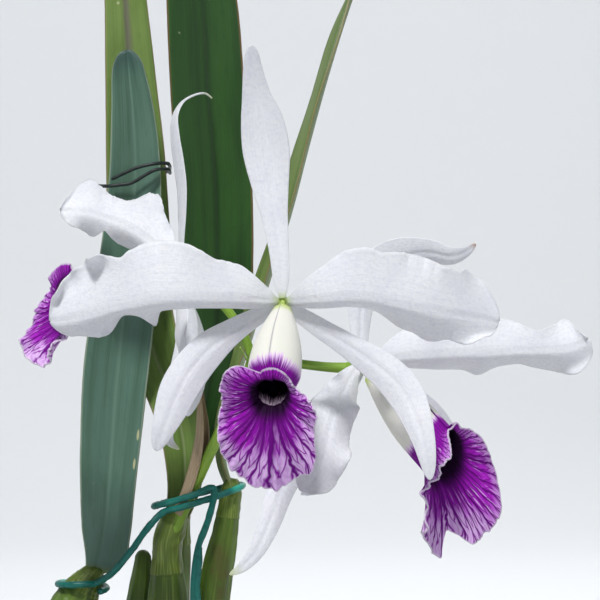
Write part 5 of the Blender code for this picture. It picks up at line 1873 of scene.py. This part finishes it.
@dataclass
class Necks:
    """The fleshy neck at the top of each pseudobulb that clasps the foot of its leaf."""

    swell: float = 0.35
    sides: int = 40
    steps: int = 60

    def rows(self, bulb: list[Row], leaf: list[Row]) -> list[Row]:
        """The rows of the neck between a pseudobulb and its leaf."""
        found = []
        for share in (0.86, 0.93, 0.99):
            x, y, z, radius = smooth(bulb, share)
            found.append((x, y, z, radius + self.swell))
        for share, radius in ((0.012, 3.9), (0.026, 3.0), (0.04, 1.2)):
            x, y, z = smooth(leaf, share)[:3]
            found.append((x, y, z, radius))
        return found

    def build(self, finishes: Finishes) -> None:
        """Makes the necks, the centre one wide enough to hold the flower stem too."""
        leaves = {leaf.name.removeprefix("leaf_"): leaf.rows for leaf in LEAVES}
        for place in ("left", "right", "rear"):
            rows = self.rows(BULBS[f"pseudobulb_{place}"], leaves[place])
            self.neck(place, rows, finishes[NECK_SKIN])
        self.neck("centre", CENTRE_NECK, finishes[NECK_SKIN])

    def neck(self, place: str, rows: list[Row], material: Material) -> None:
        """Makes one neck."""
        skin = Stalk(rows, self.sides, self.steps, FRONT, 9, 0.03, 0.08, blunt=0.04)
        Piece(f"neck_{place}", Slot.BULB, ()).make(skin.tube(), material)


@dataclass
class Sheath:
    """A thin dry sheet rolled round rows of (x, y, z, radius) in mm, torn along its top.

    middle points to the middle of the sheet, opening is how far it reaches round to each
    side, tear how deep the top is torn, as a share of its length, and crease how deep
    its folds are, in mm.
    """

    rows: list[Row]
    middle: Vector
    opening: float
    tear: float = 0.14
    crease: float = 0.35
    folds: float = 21.0
    steps: int = 60
    columns: int = 110

    def point(self, share: float, side: float) -> Vector:
        """The point at a share along and a side from -1 to 1."""
        seed = self.rows[0][0]
        torn = self.tear * max(0.0, wander(side * 3.1, seed) + 0.6 * wander(side * 13, seed) + 0.25)
        share *= 1 - torn
        angle = side * self.opening * (1 + 0.02 * wander(share * 6, seed))
        x, y, z, radius = smooth(self.rows, share)
        tangent = tangent_at(self.rows, share)
        outwards = (self.middle - self.middle.dot(tangent) * tangent).normalized()
        outwards = math.cos(angle) * outwards + math.sin(angle) * tangent.cross(outwards)
        folded = math.sin(self.folds * angle + 2 * wander(share * 3, angle, seed))
        radius += self.crease * (0.5 * folded + wander(angle * 2, share * 7, seed)) * (0.4 + 0.6 * share)
        return (Vector((x, y, z)) + radius * outwards) * MM

    def sheet(self) -> BMesh:
        """The sheath's middle surface."""
        return laid_sheet(self.steps, self.columns, self.point)


@dataclass
class DrySheaths:
    """The papery sheaths round the pseudobulbs and at the foot of the flower stem."""

    opening: float = math.radians(168)
    thickness: float = 0.0004
    bulb_gap: float = 0.7
    bulb_relief: float = 0.05

    def bulb_rows(self, name: str) -> list[Row]:
        """The rows of the sheath round one pseudobulb."""
        start, end = DRY_SHEATH_SPAN[name]
        rows = []
        for part in range(5):
            x, y, z, radius = smooth(BULBS[name], start + (end - start) * part / 4)
            loose = radius * (1 + self.bulb_relief) + self.bulb_gap + 0.5 * (part / 4) ** 2
            rows.append((x, y, z, loose))
        return rows

    def build(self, finishes: Finishes) -> None:
        """Makes the sheaths."""
        for bulb in DRY_SHEATH_SPAN:
            node = bulb.replace("pseudobulb", "dry_sheath")
            sheath = Sheath(self.bulb_rows(bulb), FRONT, self.opening)
            piece = stand_in(node, Slot.DRY_SHEATH, self.thickness)
            piece.make(sheath.sheet(), finishes[PAPER])
        flower = Sheath(
            FLOWER_SHEATH, FLOWER_SHEATH_SIDE, FLOWER_SHEATH_OPENING, tear=0.05, crease=0.2
        )
        piece = stand_in("flower_sheath", Slot.DRY_SHEATH, self.thickness)
        piece.make(flower.sheet(), finishes[PAPER])


@dataclass
class FlowerStem:
    """The flower stem, its stalks with the ribbed seed pods behind the blooms, and their bracts."""

    pod_radius: float = 2.3
    pod_setback: float = 1.6
    boss_radius: float = 1.1
    boss_reach: float = 2.3
    bract_length: float = 6.0
    bract_half_width: float = 2.4

    def pod_rows(self, bloom: Bloom) -> list[Row]:
        """The last rows of a stalk, which swell behind the bloom."""
        heart, back = Vector(bloom.heart), -bloom.facing
        return [
            (*(heart + back * (self.pod_setback + 7)), self.pod_radius),
            (*(heart + back * (self.pod_setback + 3)), self.pod_radius),
            (*(heart + back * self.pod_setback), 0.8 * self.pod_radius),
        ]

    def stalk(self, rows: list[Row], reference: Vector) -> BMesh:
        """One green stalk with shallow ribs."""
        skin = Stalk(rows, 24, 120, reference, ridges=6, relief=0.035, uneven=0.03, blunt=0.02)
        return skin.tube()

    def boss(self, bloom: Bloom) -> BMesh:
        """The short peg through the whorls of a bloom."""
        heart = Vector(bloom.heart)
        ends = (-self.pod_setback - self.boss_radius, self.boss_reach)
        rows = [(*(heart + bloom.facing * end), self.boss_radius) for end in ends]
        return Stalk(rows, 20, 8, UP, blunt=0.1).tube()

    def bract(self, foot: Vector, ahead: Vector, outwards: Vector) -> BMesh:
        """A small pointed scale at the foot of a stalk."""
        rows = []
        for share in (0.0, 0.35, 0.7, 1.0):
            lifted = outwards * (2.3 + 1.0 * share) + ahead * (self.bract_length * share)
            width = self.bract_half_width * (1 - share) ** 0.6
            rows.append((*(foot + lifted), width, width))
        blade = Blade("bract", rows, outwards, ahead.cross(outwards), (30, 20), (30, 20), groove=0)
        blade.steps, blade.columns, blade.tip_start = 16, 10, 0.8
        return blade.sheet(rows)

    def build(self, finishes: Finishes) -> None:
        """Makes the stem, its stalks and its bracts."""
        front, right, left = BLOOMS
        main = self.stalk(PEDUNCLE + self.pod_rows(front), SIDEWAYS)
        for rows, bloom in ((PEDICEL_RIGHT, right), (PEDICEL_LEFT, left)):
            absorb(main, self.stalk(rows + self.pod_rows(bloom), UP))
        for bloom in BLOOMS:
            absorb(main, self.boss(bloom))
        piece = stand_in("flower_stem", Slot.STEM)
        piece.make(main, finishes[STEM_SKIN])
        bracts = self.bract(Vector(PEDICEL_RIGHT[0][:3]), Vector((0.96, -0.25, 0.1)), -UP)
        absorb(bracts, self.bract(Vector(PEDICEL_LEFT[0][:3]), Vector((-0.3, 0.0, 0.95)), LEFT))
        Piece("bracts", Slot.STEM, (), 0.0005).make(bracts, finishes[STEM_SKIN])


@dataclass
class Rootstock:
    """The creeping stem on the bark, its branch and the roots that run out over the bark."""

    height: float = 105.2
    radius: float = 4.6
    root_radius: float = 1.9
    reach: float = 50.0
    rest: float = 102.6

    def root_rows(self, start: tuple[float, float], angle: float, sway: float) -> list[Row]:
        """A root from a point on the rhizome to the pot's wall."""
        foot = Vector(start)
        end = Vector((self.reach * math.cos(angle), self.reach * math.sin(angle)))
        bow = (end - foot).orthogonal().normalized() * sway
        rows = [(foot.x, foot.y, self.height, self.root_radius)]
        for share in (0.2, 0.4, 0.6, 0.8, 1.0):
            middle = foot.lerp(end, share) + bow * math.sin(math.pi * share)
            middle.x += 0.8 * wander(share * 4, angle)
            rows.append((middle.x, middle.y, self.rest, self.root_radius * (1 - 0.25 * share)))
        return rows

    def build(self, finishes: Finishes) -> None:
        """Makes the rootstock and its roots."""
        run = [(x, y, self.height, self.radius) for x, y in RHIZOME_RUN]
        branch = [(x, y, self.height, self.radius * 0.93) for x, y in RHIZOME_BRANCH]
        scars = (0.15, 0.32, 0.5, 0.66, 0.84)
        bm = Stalk(run, 32, 140, UP, uneven=0.12, blunt=0.06, rings=scars, ring_height=0.09).tube()
        absorb(bm, Stalk(branch, 32, 50, UP, uneven=0.12, blunt=0.1).tube())
        for root in ROOTS:
            absorb(bm, Stalk(self.root_rows(*root), 18, 90, UP, uneven=0.16, blunt=0.05).tube())
        piece = stand_in("rhizome_and_roots", Slot.ROOT)
        piece.make(bm, finishes[ROOT_COAT])


@dataclass
class BarkMedium:
    """The bark that fills the pot: a sunken bed under loose rough chips."""

    bed: float = 0.097
    top: float = 0.100
    edge: float = 0.048
    sunk: float = 0.001
    floor_gap: float = 0.0003
    wall_gap: float = 0.0004
    sides: int = 96
    count: int = 330
    size: Triple = (0.013, 0.009, 0.005)
    seed: int = 5

    def chip(self, draw: random.Random, place: Vector, scale: float) -> BMesh:
        """One rough, worn chip."""
        bm = bmesh.new()
        bmesh.ops.create_cube(bm, size=1.0)
        bmesh.ops.bevel(
            bm, geom=bm.edges[:], offset=0.16, offset_type="OFFSET", segments=1,
            profile=0.5, affect="EDGES", material=-1,
        )
        bmesh.ops.subdivide_edges(bm, edges=bm.edges[:], cuts=1, use_grid_fill=True)
        shift = draw.uniform(0, 90)
        for vertex in bm.verts:
            vertex.co *= 1 + 0.3 * wander(*(vertex.co * 1.7 + Vector((shift, shift, 0))))
        bmesh.ops.scale(bm, vec=Vector(self.size) * scale, verts=bm.verts[:])
        tilt = Matrix.Rotation(draw.uniform(-0.35, 0.35), 4, "X")
        spin = Matrix.Rotation(draw.uniform(0, math.pi), 4, "Z")
        bmesh.ops.transform(bm, matrix=Matrix.Translation(place) @ spin @ tilt, verts=bm.verts[:])
        return bm

    def build(self, pot: "Pot", finishes: Finishes) -> None:
        """Makes the bed and the chips.

        Args:
            pot: The pot that holds them.
            finishes: The materials, by finish.
        """
        low = pot.floor + self.floor_gap
        profile = [
            (0.0, low), (pot.inner_radius(low) - self.wall_gap, low),
            (pot.inner_radius(self.bed) - self.wall_gap, self.bed), (0.0, self.bed),
        ]
        piece = stand_in("bark_medium", Slot.BARK)
        bm = spun(profile, self.sides)
        draw = random.Random(self.seed)
        for _ in range(self.count):
            radius, angle = self.edge * math.sqrt(draw.random()), 2 * math.pi * draw.random()
            place = Vector((radius * math.cos(angle), radius * math.sin(angle), self.top - self.sunk))
            absorb(bm, self.chip(draw, place, draw.uniform(0.55, 1.05)))
        piece.make(bm, finishes[BARK])


@dataclass
class Pot:
    """A plain clay pot with a collar, rounded edges and four drain holes."""

    height: float = 0.112
    rim_radius: float = 0.068
    collar_radius: float = 0.062
    foot_radius: float = 0.046
    collar_depth: float = 0.024
    wall: float = 0.0055
    floor: float = 0.007
    rounding: float = 0.0015
    drain_radius: float = 0.0045
    drain_ring: float = 0.026
    drains: int = 4
    sides: int = 144

    def inner_radius(self, height: float) -> float:
        """The pot's inner radius at a height above its foot."""
        top, bottom = self.collar_radius - self.wall, self.foot_radius - self.wall
        return bottom + (top - bottom) * height / self.height

    def corner(self, middle: tuple[float, float], start: float) -> list[tuple[float, float]]:
        """A rounded corner of the profile: its middle, and the angle in degrees that it starts at."""
        found = []
        for i in range(6):
            angle = math.radians(start + 90 * i / 5)
            out, up = self.rounding * math.cos(angle), self.rounding * math.sin(angle)
            found.append((middle[0] + out, middle[1] + up))
        return found

    def profile(self) -> list[tuple[float, float]]:
        """The pot's section, from the middle of its foot to the middle of its floor."""
        r, top = self.rounding, self.height
        inner = self.inner_radius(top)
        collar_foot = top - self.collar_depth
        points = [(0.0, 0.0)]
        points += self.corner((self.foot_radius - r, r), -90)
        points += [(self.collar_radius, collar_foot)]
        points += self.corner((self.rim_radius - r, collar_foot + r), -90)
        points += self.corner((self.rim_radius - r, top - r), 0)
        points += self.corner((inner + r, top - r), 90)
        points += [(self.inner_radius(self.floor), self.floor), (0.0, self.floor)]
        return points

    def build(self, finishes: Finishes) -> None:
        """Makes the pot and drills it."""
        pot = stand_in("pot", Slot.CLAY).make(spun(self.profile(), self.sides), finishes[CLAY])
        drills = bmesh.new()
        for i in range(self.drains):
            angle = 2 * math.pi * (i + 0.5) / self.drains
            place = (self.drain_ring * math.cos(angle), self.drain_ring * math.sin(angle), 0)
            bmesh.ops.create_cone(
                drills, cap_ends=True, segments=32, radius1=self.drain_radius,
                radius2=self.drain_radius, depth=4 * self.floor, matrix=Matrix.Translation(place),
            )
        mesh = bpy.data.meshes.new("drills")
        drills.to_mesh(mesh)
        drills.free()
        cutter = placed("drills", mesh)
        cut = pot.modifiers.new("drains", "BOOLEAN")
        cut.operation, cut.object, cut.solver = "DIFFERENCE", cutter, "EXACT"
        graph = bpy.context.evaluated_depsgraph_get()
        drilled = bpy.data.meshes.new_from_object(pot.evaluated_get(graph))
        pot.modifiers.clear()
        pot.data = drilled
        bpy.data.objects.remove(cutter, do_unlink=True)


@dataclass
class TealTie:
    """One soft tie round the right bulb, the centre neck and the left bulb, with a knot and a loose end."""

    radius: float = 1.4
    uneven: float = 0.2

    def build(self, finishes: Finishes) -> None:
        """Makes the tie."""
        rows = []
        for i, (loop, slope) in enumerate(zip(TEAL_LOOPS, TEAL_LOOP_SLOPES)):
            for x, y, z, radius in loop.rows(self.radius):
                rows.append((x, y, z + slope * (x - loop.middle[0]), radius))
            if i < len(TEAL_RUNS):
                rows += [(*place, self.radius) for place in TEAL_RUNS[i]]
        bm = Stalk(rows, 14, 9 * len(rows), UP, uneven=self.uneven, blunt=0.002).tube()
        loose = [(*place, self.radius) for place in TEAL_END]
        absorb(bm, Stalk(loose, 14, 60, SIDEWAYS, uneven=self.uneven, blunt=0.05).tube())
        stand_in("teal_tie", Slot.TEAL_TIE).make(bm, finishes[TEAL])


@dataclass
class BlackTie:
    """Two turns of coated wire that hold the left and the centre leaf together."""

    radius: float = 0.75

    def build(self, finishes: Finishes) -> None:
        """Makes the tie."""
        rows = [(*place, self.radius) for place in BLACK_TURNS]
        bm = Stalk(rows, 14, 14 * len(rows), UP, uneven=0.06, blunt=0.01).tube()
        stand_in("black_tie", Slot.BLACK_TIE).make(bm, finishes[BLACK])


@dataclass
class Studio:
    """A plain pale floor that sweeps up into a wall, soft lights and the camera."""

    radius: float = 3.4
    sweep: float = 1.4
    wall_height: float = 3.6
    floor_colour: Colour = tone("DADCDE")
    eye: Triple = (0.057, -0.838, 0.345)
    lens: float = 119.7
    sensor: float = 36.0
    focus: Triple = (0.05, -0.05, 0.34)

    def floor(self) -> None:
        """Makes the floor and the wall round it."""
        flat = self.radius - self.sweep
        profile = [(0.0, 0.0), (flat * 0.5, 0.0), (flat, 0.0)]
        for i in range(1, 13):
            angle = math.radians(90 * i / 12)
            profile.append((flat + self.sweep * math.sin(angle), self.sweep * (1 - math.cos(angle))))
        profile.append((self.radius, self.wall_height))
        bm = spun(profile, 96)
        bmesh.ops.recalc_face_normals(bm, faces=bm.faces[:])
        mesh = bpy.data.meshes.new("studio_floor")
        bm.to_mesh(mesh)
        bm.free()
        mesh.shade_smooth()
        dye = Dye("studio_paper")
        grain = dye.cloud(40.0)
        colour = dye.mix(grain * 0.15, self.floor_colour, tone("D0D2D5"))
        mesh.materials.append(dye.finish(colour, 0.95))
        placed("studio_floor", mesh)

    def lamp(self, name: str, place: Triple, size: float, watts: float, target: Triple) -> None:
        """Hangs one soft square light that looks at a target."""
        light = bpy.data.lights.new(name, "AREA")
        light.energy, light.size = watts, size
        lamp = placed(name, light)
        lamp.location = place
        lamp.rotation_euler = (Vector(target) - Vector(place)).to_track_quat("-Z", "Y").to_euler()

    def build(self) -> None:
        """Makes the floor, the lights, the sky and the camera."""
        self.floor()
        self.lamp("key", (-0.3, -1.2, 2.1), 0.3, 37.0, self.focus)
        self.lamp("fill", (1.7, -1.5, 0.6), 1.6, 2.0, self.focus)
        self.lamp("back", (0.9, 1.6, 1.4), 1.2, 8.0, self.focus)
        self.lamp("wall", (0.0, 0.9, 1.9), 1.6, 45.0, (0.0, 3.4, 0.8))
        world = bpy.data.worlds.new("sky")
        world.use_nodes = True
        world.node_tree.nodes["Background"].inputs["Color"].default_value = tone("DDE4EE")
        world.node_tree.nodes["Background"].inputs["Strength"].default_value = 0.18
        bpy.context.scene.world = world
        bpy.context.scene.view_settings.view_transform = "Standard"
        camera = bpy.data.cameras.new("camera")
        camera.lens, camera.sensor_width = self.lens, self.sensor
        holder = placed("camera", camera)
        holder.location = self.eye
        holder.rotation_euler = (math.radians(90), 0, 0)
        bpy.context.scene.camera = holder


def write_sizes() -> None:
    """Updates the view layer."""
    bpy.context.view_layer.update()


def main() -> None:
    """Dresses the whole orchid."""
    logging.basicConfig(level=logging.INFO, format="%(name)s %(message)s")
    finishes: Finishes = {finish: finish.dye() for finish in FINISHES}
    pot = Pot()
    pot.build(finishes)
    BarkMedium().build(pot, finishes)
    Rootstock().build(finishes)
    Pseudobulbs().build(finishes)
    Necks().build(finishes)
    DrySheaths().build(finishes)
    Leaves().build(finishes)
    FlowerStem().build(finishes)
    for bloom in BLOOMS:
        bloom.build(finishes)
    TealTie().build(finishes)
    BlackTie().build(finishes)
    Studio().build()
    write_sizes()


if __name__ == "__main__":
    main()
